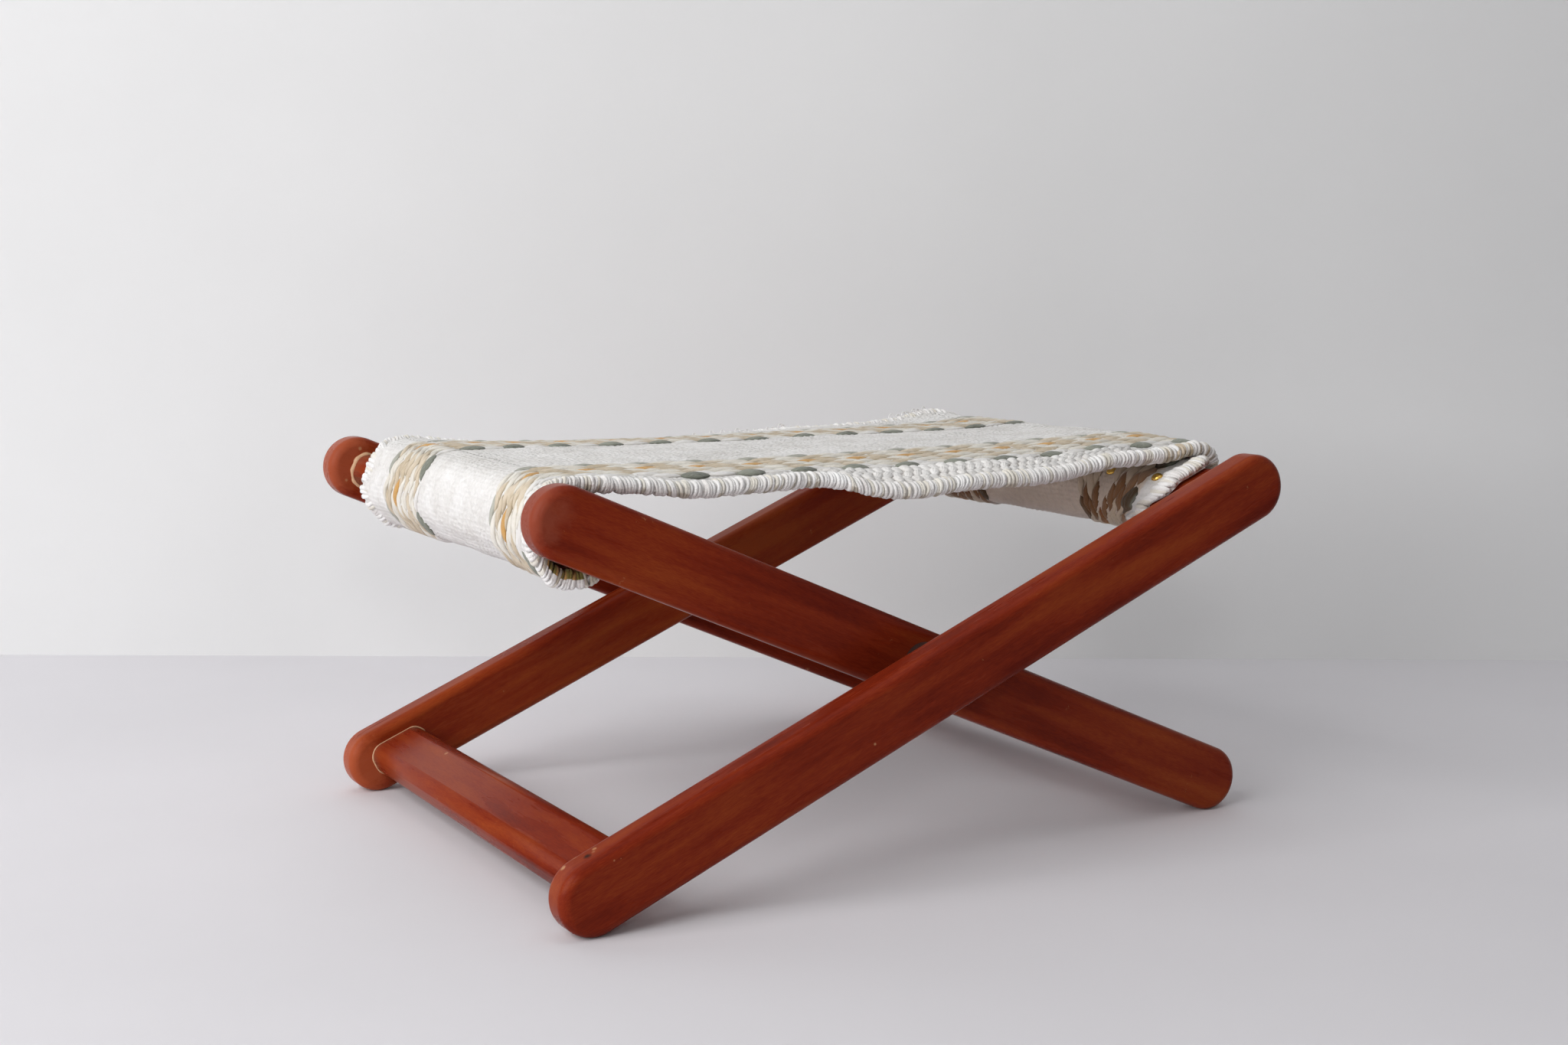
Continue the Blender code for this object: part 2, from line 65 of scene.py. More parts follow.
print("nodes in the frame:", len(frame["nodes"]), "pivot height", PIVOT_Z)

# %% [markdown]
# ## The camera
# A camera is a place, a direction and a lens. All three were worked out from the outlines of the four
# legs, so the stool lies in the picture as it does in the photograph. Building the camera's axes from
# its angles keeps it readable: azimuth is the turn round the stool, elevation the height it looks from.

# %% Camera
LENS = 46.157                                 # mm
SENSOR_WIDTH = 36
CAMERA_DISTANCE = 1.4298
AZIMUTH = math.radians(-29.938)
ELEVATION = math.radians(7.128)
ROLL = math.radians(0.202)
AIM_HEIGHT = 0.200375
AIM_RIGHT = 0.000508


def place_camera():
    flat = Vector((-math.sin(AZIMUTH), math.cos(AZIMUTH), 0))
    forward = flat * math.cos(ELEVATION) - Vector((0, 0, math.sin(ELEVATION)))
    level_right = forward.cross(Vector((0, 0, 1))).normalized()
    level_up = level_right.cross(forward)
    right = level_right * math.cos(ROLL) + level_up * math.sin(ROLL)
    up = level_up * math.cos(ROLL) - level_right * math.sin(ROLL)
    aim = right * AIM_RIGHT + Vector((0, 0, AIM_HEIGHT))
    eye = aim - forward * CAMERA_DISTANCE
    lens = bpy.data.cameras.new("photo_camera")
    lens.lens = LENS
    lens.sensor_width = SENSOR_WIDTH
    camera = bpy.data.objects.new("photo_camera", lens)
    bpy.context.scene.collection.objects.link(camera)
    camera.matrix_world = Matrix(((right.x, up.x, -forward.x, eye.x),
                                  (right.y, up.y, -forward.y, eye.y),
                                  (right.z, up.z, -forward.z, eye.z),
                                  (0, 0, 0, 1)))
    bpy.context.scene.camera = camera
    return camera


camera = place_camera()
bpy.context.scene.view_settings.view_transform = "Standard"
print("camera at", [round(c, 4) for c in camera.matrix_world.translation])

# %% [markdown]
# ## Colours and nodes
# Colours are written as people pick them, in sRGB hex, and turned to the linear values that a shader
# works with. One helper adds any node with its settings and links, so every material below reads as a
# list of what it is made of.

# %% Colour and node helpers


def srgb(code):
    channels = [int(code[i:i + 2], 16) / 255 for i in (0, 2, 4)]
    linear = [c / 12.92 if c <= 0.04045 else ((c + 0.055) / 1.055) ** 2.4 for c in channels]
    return (*linear, 1.0)


def add_node(tree, kind, settings=None, links=None):
    """Settings and links are keyed by an input's name or number, or a property's name."""
    node = tree.nodes.new("ShaderNode" + kind)
    for key, value in (settings or {}).items():
        if key == "stops":
            ramp = node.color_ramp
            while len(ramp.elements) < len(value):
                ramp.elements.new(0.5)
            for element, (place, color) in zip(ramp.elements, value):
                element.position = place
                element.color = color
        elif isinstance(key, int) or key in node.inputs:
            node.inputs[key].default_value = value
        else:
            setattr(node, key, value)
    for key, socket in (links or {}).items():
        tree.links.new(socket, node.inputs[key])
    return node


def new_material(name, roughness, metallic=0.0, ior=1.5):
    """An empty Principled material; returns the material, its tree and the shader."""
    material = bpy.data.materials.new(name)
    material.use_nodes = True
    tree = material.node_tree
    shader = tree.nodes["Principled BSDF"]
    shader.inputs["Roughness"].default_value = roughness
    shader.inputs["Metallic"].default_value = metallic
    if metallic == 0.0:
        shader.inputs["IOR"].default_value = ior
    return material, tree, shader


def plug(tree, shader, sockets):
    """Link each socket to the shader's input of that name."""
    for name, socket in sockets.items():
        tree.links.new(socket, shader.inputs[name])


def per_metre(*sizes):
    """How often features of these sizes, in mm, fit in a metre: the scale of a pattern."""
    return tuple(1000 / size for size in sizes)


print("cloth white in linear light:", [round(c, 3) for c in srgb("F4F2F0")])

# %% [markdown]
# ## Stained beech
# The bars are beech, planed and sanded round, dyed red-brown and given a thin satin lacquer. Beech has
# almost no figure: fine short pores that run with the bar, and slow changes of colour. The dye sits
# thinner where hands and floors rub, so the wood shows lighter there. Some round ends are lighter
# still, partly from that wear and partly as painted highlight where the light falls on them. An image
# of wood would need an unwrapped mesh and would repeat, so the grain is noise, stretched along each
# bar's own x axis and shifted by the bar's place so that no two bars match. A lacquer's IOR is about
# 1.5; this one is so thin and rubbed that a lower IOR and specular level match its weak shine.

# %% Stained beech
STAIN_DARK = srgb("601A0D")
STAIN_MID = srgb("7E2914")
STAIN_LIGHT = srgb("96421D")
BARE_BEECH = srgb("B5805C")
SCORCHED = srgb("2A1510")
FIGURE_SIZES = (142.857, 16.667, 16.667)      # mm, along the bar and twice across it
PORE_SIZES = (5, 0.5, 0.5)                    # real pores are finer; these are as fine as can show
BLOTCH_SIZE = 11.111


def stained_beech(name, tint, rub, marks):
    """tint shifts the stain's ramp, rub is how worn it is; a mark is (x, y, z, size, colour, cover)."""
    material, tree, shader = new_material(name, 0.34, ior=1.4)
    shader.inputs["Specular IOR Level"].default_value = 0.09
    along = add_node(tree, "Attribute", {"attribute_name": "grain_place"})
    own = add_node(tree, "Attribute", {"attribute_name": "bar_place"})
    slow = add_node(tree, "Mapping", {"Scale": per_metre(*FIGURE_SIZES)}, {"Vector": along.outputs["Vector"]})
    figure = add_node(tree, "TexNoise", {"Scale": 1.0, "Detail": 4.0, "Roughness": 0.55},
                      {"Vector": slow.outputs[0]})
    fine = add_node(tree, "Mapping", {"Scale": per_metre(*PORE_SIZES)}, {"Vector": along.outputs["Vector"]})
    pores = add_node(tree, "TexNoise", {"Scale": 1.0, "Detail": 2.0}, {"Vector": fine.outputs[0]})
    blend = add_node(tree, "Math", {"operation": "MULTIPLY_ADD", 1: 0.35},
                     {0: pores.outputs["Fac"], 2: figure.outputs["Fac"]})
    stops = [(0.45 + tint, STAIN_DARK), (0.66 + tint, STAIN_MID), (0.92 + tint, STAIN_LIGHT)]
    stain_and_shade = add_node(tree, "ValToRGB", {"stops": stops}, {"Fac": blend.outputs[0]})
    blotch = add_node(tree, "TexNoise", {"Scale": 1000 / BLOTCH_SIZE, "Detail": 5.0, "Roughness": 0.7},
                      {"Vector": along.outputs["Vector"]})
    worn = add_node(tree, "ValToRGB", {"stops": [(0.72 - 0.06 * rub, (0, 0, 0, 1)), (0.80, (1, 1, 1, 1))]},
                    {"Fac": blotch.outputs["Fac"]})
    color = add_node(tree, "Mix", {"data_type": "RGBA", 7: BARE_BEECH},
                     {0: worn.outputs[0], 6: stain_and_shade.outputs[0]})
    for x, y, z, size, mark_color, cover in marks:
        away = add_node(tree, "VectorMath", {"operation": "DISTANCE", 1: (x * MM, y * MM, z * MM)},
                        {0: own.outputs["Vector"]})
        ragged = add_node(tree, "Math", {"operation": "MULTIPLY_ADD", 1: size * MM * 1.2},
                          {0: blotch.outputs["Fac"], 2: away.outputs["Value"]})
        inside = add_node(tree, "MapRange", {"From Min": size * MM * 1.7, "From Max": size * MM * 1.2,
                                             "To Max": cover}, {"Value": ragged.outputs[0]})
        color = add_node(tree, "Mix", {"data_type": "RGBA", 7: mark_color},
                         {0: inside.outputs[0], 6: color.outputs[2]})
    gloss = add_node(tree, "MapRange", {"To Min": 0.2, "To Max": 0.36}, {"Value": figure.outputs["Fac"]})
    bump = add_node(tree, "Bump", {"Strength": 0.12, "Distance": 0.0003}, {"Height": pores.outputs["Fac"]})
    plug(tree, shader, {"Base Color": color.outputs[2], "Roughness": gloss.outputs[0],
                        "Normal": bump.outputs[0]})
    return material


WORN_AND_LIT_SHARE = 0.8                              # how much of an end's lighter colour, worn and painted highlight, covers the stain
# Ends that are lighter, partly where the stain has thinned and partly as painted highlight: how far along the
# bar and how wide, in mm, and the colour
WORN_AND_LIT_ENDS = {"outer_leg_b": (287, 30, "A55236"), "inner_leg_a": (-285, 30, "AC5434"),
             "inner_leg_b": (289, 26, "8E4431")}
# A scorched spot, and chips down to the bare wood: place in the bar's own axes and size, in mm
SCORCH_MARKS = {"outer_leg_a": (-260.8, -0.5, 20.6, 3.2)}
CHIPS = {
    "outer_leg_a": [(-256, 0.4, 21, 1.8), (-254.1, 3.1, 22.3, 1.6), (-250.5, -11, 16.6, 0.9),
                    (-246.5, -11.2, 15.6, 0.7), (-275, 4.9, 22, 2.2), (-266, 7.6, 22.3, 1.8),
                    (-71.1, -11.7, -8.7, 0.9)],
    "outer_leg_b": [(272.6, 10.8, -11.8, 1.4), (278, 9.2, -13.7, 1.3), (271.5, 10.6, 13.4, 1.7),
                    (282.4, 9, 1.5, 1.6)],
    "inner_leg_a": [(-266.2, -9, 19.2, 1.6), (-239.8, -9, 14.8, 1.8)],
    "foot_rail_a": [(108.9, 19.5, 2.5, 1.6), (89, 19.5, 2.3, 1.4), (24, 19.5, 5.2, 1.2),
                    (-55.3, 19.5, 2.4, 1.2), (73.2, -9.5, 12, 1.7)],
}


def bar_wood(bar):
    tint, rub = (-0.03, 0.8) if "rail" in bar else (0.0, 0.5)
    # Painted light: this leg's stain is made lighter to stand in for the light that falls on it.
    if bar == "inner_leg_a":
        tint = -0.09
    marks = []
    if bar in WORN_AND_LIT_ENDS:
        along, size, color_code = WORN_AND_LIT_ENDS[bar]
        marks.append((along, 0, 0, size, srgb(color_code), WORN_AND_LIT_SHARE))
    if bar in SCORCH_MARKS:
        marks.append((*SCORCH_MARKS[bar], SCORCHED, 1.0))
    marks += [(*chip, BARE_BEECH, 1.0) for chip in CHIPS.get(bar, ())]
    return stained_beech("stained_beech_" + bar, tint, rub, marks)


print("bars with chips of their own:", ", ".join(CHIPS))

# %% [markdown]
# ## The bars
# A leg is a flat bar with half-round ends and its rims rounded over. A bevel modifier on an extruded
# outline comes close; lofting it from rings gives the exact rounding in clean quads. Each ring is the
# bar's outline, drawn in a little and moved across, as a router's rounding bit would leave it. Weighted
# normals keep the wide faces flat in the light while the rims turn smoothly. The holes for the dowels
# and the pivot are cut with a boolean, as they are drilled in the real ones.

# %% Sizes of the bars
SLOPE = math.radians(23.2)
LEG_LENGTH = 580 * MM
LEG_WIDTH = 45 * MM
LEG_THICKNESS = 23.5 * MM
LEG_ROUNDOVER = 6.5 * MM
PIVOT_OFFSET = 1.5 * MM
OUTER_LEG_Y = 208.75 * MM
INNER_LEG_Y = 167.75 * MM
TOP_REACH = LEG_LENGTH / 2 - PIVOT_OFFSET
FOOT_REACH = LEG_LENGTH / 2 + PIVOT_OFFSET
HOLE_SPACE = 0.3 * MM
print("legs of", round(LEG_LENGTH / MM), "mm that slope", round(math.degrees(SLOPE), 1), "degrees")

# %% From rings to a bar


def frame_matrix(side):
    """From a frame's own axes, x up along its legs, to the stool's; side 1 is frame a, -1 frame b."""
    turn = Matrix.Rotation(0 if side > 0 else math.pi, 4, "Z")
    return Matrix.Translation((0, 0, PIVOT_Z)) @ turn @ Matrix.Rotation(-SLOPE, 4, "Y")


def mesh_object(name, points, faces, material=None):
    mesh = bpy.data.meshes.new(name)
    mesh.from_pydata(points, [], faces)
    mesh.validate()
    mesh.shade_smooth()
    piece = bpy.data.objects.new(name, mesh)
    bpy.context.scene.collection.objects.link(piece)
    if material is not None:
        mesh.materials.append(material)
    return piece


def turn_faces_out(mesh):
    shape = bmesh.new()
    shape.from_mesh(mesh)
    bmesh.ops.recalc_face_normals(shape, faces=shape.faces)
    shape.to_mesh(mesh)
    shape.free()


def loft(name, rings, material):
    """Rings of the same number of points, joined in order and closed by a flat face at both ends."""
    count = len(rings[0])
    points = [point for ring in rings for point in ring]
    faces = [list(range(count))[::-1], [len(points) - count + i for i in range(count)]]
    for low in range(0, len(points) - count, count):
        for i in range(count):
            j = (i + 1) % count
            faces.append((low + i, low + j, low + count + j, low + count + i))
    piece = mesh_object(name, points, faces, material)
    turn_faces_out(piece.data)
    return piece


upper_end = frame_matrix(1) @ Vector((TOP_REACH, 0, 0))
print("upper end of frame a:", [round(c, 3) for c in upper_end])

# %% Drilling a bar and handing it over


def drill(piece, holes, sides):
    """Cut round holes, each (start, end, radius) in the piece's own axes, and keep the result."""
    shape = bmesh.new()
    for start, end, radius in holes:
        start = Vector(start)
        way = Vector(end) - start
        turn = way.to_track_quat("Z", "Y").to_matrix().to_4x4()
        bmesh.ops.create_cone(shape, cap_ends=True, segments=sides, radius1=radius, radius2=radius,
                              depth=way.length, matrix=Matrix.Translation(start + way / 2) @ turn)
    mesh = bpy.data.meshes.new("drill_bit")
    shape.to_mesh(mesh)
    shape.free()
    bit = bpy.data.objects.new("drill_bit", mesh)
    bpy.context.scene.collection.objects.link(bit)
    bit.matrix_world = piece.matrix_world
    cut = piece.modifiers.new("holes", "BOOLEAN")
    cut.object = bit
    cut.solver = "EXACT"
    weigh = piece.modifiers.new("flat_faces", "WEIGHTED_NORMAL")
    weigh.keep_sharp = True
    keep_modifiers(piece)
    bpy.data.objects.remove(bit)
    bpy.data.meshes.remove(mesh)


def settle(piece, shift):
    """Store each point's place in the bar's own axes, then move the mesh so the object sits at 0."""
    points = np.empty(len(piece.data.vertices) * 3, dtype=np.float32)
    piece.data.vertices.foreach_get("co", points)
    for name, offset in (("bar_place", 0.0), ("grain_place", shift)):
        layer = piece.data.attributes.new(name, "FLOAT_VECTOR", "POINT")
        layer.data.foreach_set("vector", points + np.float32(offset))
    piece.data.transform(piece.matrix_world)
    piece.matrix_world = Matrix.Identity(4)


def keep_modifiers(piece):
    bpy.context.view_layer.update()
    graph = bpy.context.evaluated_depsgraph_get()
    mesh = bpy.data.meshes.new_from_object(piece.evaluated_get(graph), preserve_all_data_layers=True,
                                           depsgraph=graph)
    piece.modifiers.clear()
    piece.data = mesh


def stand_in(piece, node, body):
    """The piece stands in for this CAD node, which is hidden, and rides on this body."""
    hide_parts(node)
    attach(piece, body)


def finish_bar(bar, holes, sides, grain_shift, body):
    bpy.context.view_layer.update()
    drill(bar, holes, sides)
    settle(bar, grain_shift)
    stand_in(bar, bar.name.replace("beech_", ""), body)


print("space round a dowel in its hole:", HOLE_SPACE / MM, "mm")

# %% The rings of a leg
END_STEPS = 40
RIM_STEPS = 8


def leg_rings():
    rings = []
    half = LEG_THICKNESS / 2
    rim = [(LEG_ROUNDOVER * (1 - math.sin(a)), -half + LEG_ROUNDOVER * (1 - math.cos(a)))
           for a in np.linspace(0, math.pi / 2, RIM_STEPS + 1)]
    for inset, y in rim + [(inset, -y) for inset, y in reversed(rim)]:
        radius = LEG_WIDTH / 2 - inset
        ring = []
        for center, start in ((TOP_REACH - LEG_WIDTH / 2, -90), (LEG_WIDTH / 2 - FOOT_REACH, 90)):
            for step in range(END_STEPS + 1):
                angle = math.radians(start + 180 * step / END_STEPS)
                ring.append((center + radius * math.cos(angle), y, radius * math.sin(angle)))
        rings.append(ring)
    return rings


print("rings in a leg:", len(leg_rings()), "points in each:", len(leg_rings()[0]))

# %% [markdown]
# ## Rails and legs
# A rail is a bar with four well rounded corners. It is straight and its ends lie flat against the
# legs, so the loft needs no more than one section at each end. Two dowels join it to a leg at each
# end, in holes drilled into both. An outer leg also has a blind hole for the threaded insert, and an
# inner leg a bore right through for the pivot's bolt.

# %% Rails and legs
RAIL_WIDTH = 42.5 * MM
RAIL_THICKNESS = 24 * MM
RAIL_ROUNDOVER = 10 * MM
RAIL_INSET = 18 * MM
TOP_RAIL_X = TOP_REACH - RAIL_INSET - RAIL_WIDTH / 2
FOOT_RAIL_X = -(FOOT_REACH - RAIL_INSET - RAIL_WIDTH / 2)
CORNER_ACROSS = RAIL_WIDTH / 2 - RAIL_ROUNDOVER     # where its rounded corners have their centres
CORNER_UP = RAIL_THICKNESS / 2 - RAIL_ROUNDOVER
RAIL_START_Y = -(OUTER_LEG_Y - LEG_THICKNESS / 2)
RAIL_END_Y = INNER_LEG_Y - LEG_THICKNESS / 2
DOWEL_RADIUS = 4 * MM
DOWEL_IN_LEG = 16 * MM
DOWEL_IN_RAIL = 24 * MM
DOWEL_SHIFTS = (-10 * MM, 10 * MM)
DOWEL_HOLE = DOWEL_RADIUS + HOLE_SPACE
INSERT_RADIUS = 6.5 * MM
INSERT_DEPTH = 15 * MM
BOLT_RADIUS = 4 * MM
CORNER_STEPS = 12


def rail_section(grow=0.0):
    """Points of the rail's rounded section, (across, up); grow draws it larger all round."""
    points = []
    for quarter, (sx, sz) in enumerate(((1, 1), (-1, 1), (-1, -1), (1, -1))):
        for step in range(CORNER_STEPS + 1):
            angle = math.radians(90 * quarter + 90 * step / CORNER_STEPS)
            points.append((sx * CORNER_ACROSS + (RAIL_ROUNDOVER + grow) * math.cos(angle),
                           sz * CORNER_UP + (RAIL_ROUNDOVER + grow) * math.sin(angle)))
    return points


def make_rail(name, rail_x, side, body):
    """The rail's own x axis runs along it, so that its grain does too."""
    rings = [[(y, -x, z) for x, z in rail_section()]
             for y in (RAIL_START_Y + HOLE_SPACE, RAIL_END_Y - HOLE_SPACE)]
    rail = loft(name, rings, bar_wood(name.replace("beech_", "")))
    turn = Matrix.Rotation(math.pi / 2, 4, "Z")
    rail.matrix_world = frame_matrix(side) @ Matrix.Translation((rail_x, 0, 0)) @ turn
    reach = DOWEL_IN_RAIL + HOLE_SPACE
    holes = []
    for shift in DOWEL_SHIFTS:
        holes.append(((RAIL_START_Y, -shift, 0), (RAIL_START_Y + reach, -shift, 0), DOWEL_HOLE))
        holes.append(((RAIL_END_Y, -shift, 0), (RAIL_END_Y - reach, -shift, 0), DOWEL_HOLE))
    finish_bar(rail, holes, 20, 3.7 * rail_x + 0.9 * side, body)


def make_leg(name, y, side, body):
    leg = loft(name, leg_rings(), bar_wood(name.replace("beech_", "")))
    leg.matrix_world = frame_matrix(side) @ Matrix.Translation((0, y, 0))
    outer = y < 0
    inward = 1 if outer else -1
    face = inward * LEG_THICKNESS / 2
    holes = [((rail_x + shift, face + inward * HOLE_SPACE, 0),
              (rail_x + shift, face - inward * (DOWEL_IN_LEG + HOLE_SPACE), 0), DOWEL_HOLE)
             for rail_x in (TOP_RAIL_X, FOOT_RAIL_X) for shift in DOWEL_SHIFTS]
    if outer:
        holes.append(((0, face + HOLE_SPACE, 0), (0, face - INSERT_DEPTH - HOLE_SPACE, 0),
                      INSERT_RADIUS + HOLE_SPACE))
    else:
        holes.append(((0, face - HOLE_SPACE, 0), (0, -face + HOLE_SPACE, 0), BOLT_RADIUS + HOLE_SPACE))
    finish_bar(leg, holes, 32, 2.3 * y + 0.7 * side, body)


for side, letter in ((1, "a"), (-1, "b")):
    body = "frame_" + letter
    make_leg("beech_outer_leg_" + letter, -OUTER_LEG_Y, side, body)
    make_leg("beech_inner_leg_" + letter, INNER_LEG_Y, side, body)
    make_rail("beech_top_rail_" + letter, TOP_RAIL_X, side, body)
    make_rail("beech_foot_rail_" + letter, FOOT_RAIL_X, side, body)
print("bars made: 4 legs and 4 rails")

# %% [markdown]
# ## Dried glue
# A dowelled joint is glued and pressed together, and a little glue comes out all round and dries to an
# amber bead. A curve with a round bevel could be laid there; a closed tube of rings was chosen because
# its thickness is easy to vary, as pressed glue swells and thins. Its colour is faintly cloudy. One
# joint, the left upper one, shows more of it than the rest.

# %% Glue that was pressed out of the joints
BEAD_SIDES = 8
BEAD_LIFT = 0.1 * MM                          # off the rail's face, to the bead's middle
BEAD_FLATNESS = 0.7
CLOUD_SIZE = 3.333                            # mm
THIN_BEAD = 0.7 * MM
THICK_BEAD = 2 * MM

glue, glue_tree, glue_shader = new_material("dried_wood_glue", 0.5)
glue_noise = add_node(glue_tree, "TexNoise", {"Scale": 1000 / CLOUD_SIZE, "Detail": 3.0})
glue_color = add_node(glue_tree, "ValToRGB", {"stops": [(0.35, srgb("B98A64")), (0.65, srgb("E0BC96"))]},
                      {"Fac": glue_noise.outputs["Fac"]})
plug(glue_tree, glue_shader, {"Base Color": glue_color.outputs[0]})


def tube_faces(rings, closed_ends):
    """Rings of points to flat points and quads; without closed ends the last ring joins the first."""
    rows, count = rings.shape[:2]
    index = np.arange(rows * count).reshape(rows, count)
    after = np.roll(index, -1, axis=1)
    if closed_ends:
        quads = np.stack([index[:-1], after[:-1], after[1:], index[1:]], axis=-1).reshape(-1, 4)
        caps = []
        half = count // 2
        for row, flip in ((0, False), (rows - 1, True)):
            for i in range(half - 1):
                cap = [index[row, i], index[row, i + 1], index[row, count - 2 - i], index[row, count - 1 - i]]
                caps.append(cap if flip else cap[::-1])
        quads = np.concatenate([quads, np.array(caps)])
    else:
        beyond = np.roll(index, -1, axis=0)
        beyond_after = np.roll(after, -1, axis=0)
        quads = np.stack([index, after, beyond_after, beyond], axis=-1).reshape(-1, 4)
    return rings.reshape(-1, 3), quads


def glue_bead(name, rail_x, y, side, thick, body):
    """A thin uneven bead of dried glue round a rail's end, where it meets the leg's face."""
    draw = np.random.default_rng(int(abs(rail_x) * 1e4) + int(y > 0))
    outline = np.array(rail_section(BEAD_LIFT))
    count = len(outline)
    waves = np.sin(np.arange(count) * 0.9 + draw.uniform(0, 6)) + np.sin(np.arange(count) * 0.37)
    radius = thick * (1 + 0.18 * waves + draw.uniform(-0.08, 0.08, count))[:, None]
    away = outline / np.linalg.norm(outline, axis=1)[:, None]
    around = np.linspace(0, 2 * math.pi, BEAD_SIDES, endpoint=False)
    rings = np.empty((count, BEAD_SIDES, 3))
    rings[:, :, 0] = rail_x + outline[:, :1] + away[:, :1] * radius * np.cos(around)
    rings[:, :, 1] = y + radius * np.sin(around) * BEAD_FLATNESS
    rings[:, :, 2] = outline[:, 1:] + away[:, 1:] * radius * np.cos(around)
    points, quads = tube_faces(rings, closed_ends=False)
    bead = mesh_object(name, points, quads.tolist(), glue)
    bead.data.transform(frame_matrix(side))
    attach(bead, body)


for side, letter in ((1, "a"), (-1, "b")):
    for rail_x, end in ((TOP_RAIL_X, "top"), (FOOT_RAIL_X, "foot")):
        for y, leg_name in ((RAIL_START_Y, "outer"), (RAIL_END_Y, "inner")):
            joint = "_".join((letter, end, leg_name))
            thick = THICK_BEAD if joint == "b_top_outer" else THIN_BEAD
            glue_bead("glue_" + joint, rail_x, y, side, thick, "frame_" + letter)
print("glue beads: 8")

# %% [markdown]
# ## The floor, the wall and the light
# The photograph was taken on a white board against a pale wall, in soft window light from the left.
# A large area lamp is the window, a small one its brightest pane, which draws the soft highlights on
# the round ends, and a weak wide one the ceiling. An even world fills the rest, and where the camera
# or a gloss looks past the boards it is pale. Board and wall are seen from their front only, like a
# theatre flat, so that neither hides the stool from another side. All of them stay plain, so a colour
# looks about as it is written.

# %% Floor and wall
STAGE_HALF = 3                                # metres, as are the two below
WALL_HEIGHT = 3
WALL_DISTANCE = 0.53                          # from the stool's middle to the wall, along the view
PAINT_CLOUD = 333.333                         # mm, a cloud in the boards' paint


def stage_plane(name, corners, color_code, roughness):
    """A board with faintly clouded paint, solid from its front and clear from behind."""
    material, tree, shader = new_material(name + "_paint", roughness)
    shader.inputs["Specular IOR Level"].default_value = 0.2
    coords = add_node(tree, "TexCoord")
    cloud = add_node(tree, "TexNoise", {"Scale": 1000 / PAINT_CLOUD, "Detail": 3.0},
                     {"Vector": coords.outputs["Object"]})
    base = srgb(color_code)
    darker = (*(channel * 0.9 for channel in base[:3]), 1.0)
    paint = add_node(tree, "Mix", {"data_type": "RGBA", 6: darker, 7: base}, {0: cloud.outputs["Fac"]})
    plug(tree, shader, {"Base Color": paint.outputs[2]})
    geometry = add_node(tree, "NewGeometry")
    clear = add_node(tree, "BsdfTransparent")
    board = add_node(tree, "MixShader", {}, {0: geometry.outputs["Backfacing"], 1: shader.outputs[0],
                                             2: clear.outputs[0]})
    tree.links.new(board.outputs[0], tree.nodes["Material Output"].inputs["Surface"])
    mesh_object(name, corners, [(0, 1, 2, 3)], material)


wall_foot = Vector((-math.sin(AZIMUTH), math.cos(AZIMUTH), 0)) * WALL_DISTANCE
wall_top = wall_foot + Vector((0, 0, WALL_HEIGHT))
along_wall = Vector((math.cos(AZIMUTH), math.sin(AZIMUTH), 0)) * STAGE_HALF
floor_corners = [(x * STAGE_HALF, y * STAGE_HALF, 0) for x, y in ((-1, -1), (1, -1), (1, 1), (-1, 1))]
stage_plane("floor", floor_corners, "EAE8EC", 0.7)
stage_plane("wall", [wall_foot - along_wall, wall_foot + along_wall, wall_top + along_wall,
                     wall_top - along_wall], "EEEEEE", 0.9)
print("wall stands", WALL_DISTANCE, "m behind the stool's middle")

# %% Lamps and the room's even light


def area_lamp(name, place, aim, size, power):
    """A white square lamp; power is in watts."""
    light = bpy.data.lights.new(name, "AREA")
    light.size = size
    light.energy = power
    lamp = bpy.data.objects.new(name, light)
    bpy.context.scene.collection.objects.link(lamp)
    lamp.location = place
    lamp.rotation_euler = (Vector(aim) - Vector(place)).to_track_quat("-Z", "Y").to_euler()


area_lamp("window", (-2.4, -0.6, 1.5), (0, 0, 0.15), 2.4, 71)
area_lamp("pane", (-0.95, -1.7, 0.85), (-0.2, 0, 0.15), 0.2, 3.2)
area_lamp("ceiling", (0.3, 0.1, 2.9), (0.2, 0, 0), 3.2, 22)

world = bpy.data.worlds.new("room_light")
bpy.context.scene.world = world
world.use_nodes = True
room = world.node_tree
fill = room.nodes["Background"]
fill.inputs["Color"].default_value = srgb("E8EAEC")
fill.inputs["Strength"].default_value = 0.05
far_wall = add_node(room, "Background", {"Color": srgb("D2D2D3"), "Strength": 1.0})
ray = add_node(room, "LightPath")
sees_wall = ray.outputs["Is Camera Ray"]
for kind in ("Is Glossy Ray", "Is Transmission Ray"):
    either = add_node(room, "Math", {"operation": "MAXIMUM"}, {0: sees_wall, 1: ray.outputs[kind]})
    sees_wall = either.outputs[0]
whole = add_node(room, "MixShader", {}, {0: sees_wall, 1: fill.outputs[0], 2: far_wall.outputs[0]})
room.links.new(whole.outputs[0], room.nodes["World Output"].inputs["Surface"])

# %% [markdown]
# ## Where the cloth runs
# The sling is one long cloth. It starts as a tacked flap on each upper rail, goes once round the rail
# and then over its own flap to the other rail. A cloth simulation could drape it, but not to measured
# heights and selvedges. So two functions turn a place on the flat cloth (g along it, f across it from
# the far selvedge to the near one, h above its inner face) into a place in the room, one for the seat
# and one for either wrap. Every thread is placed by them.

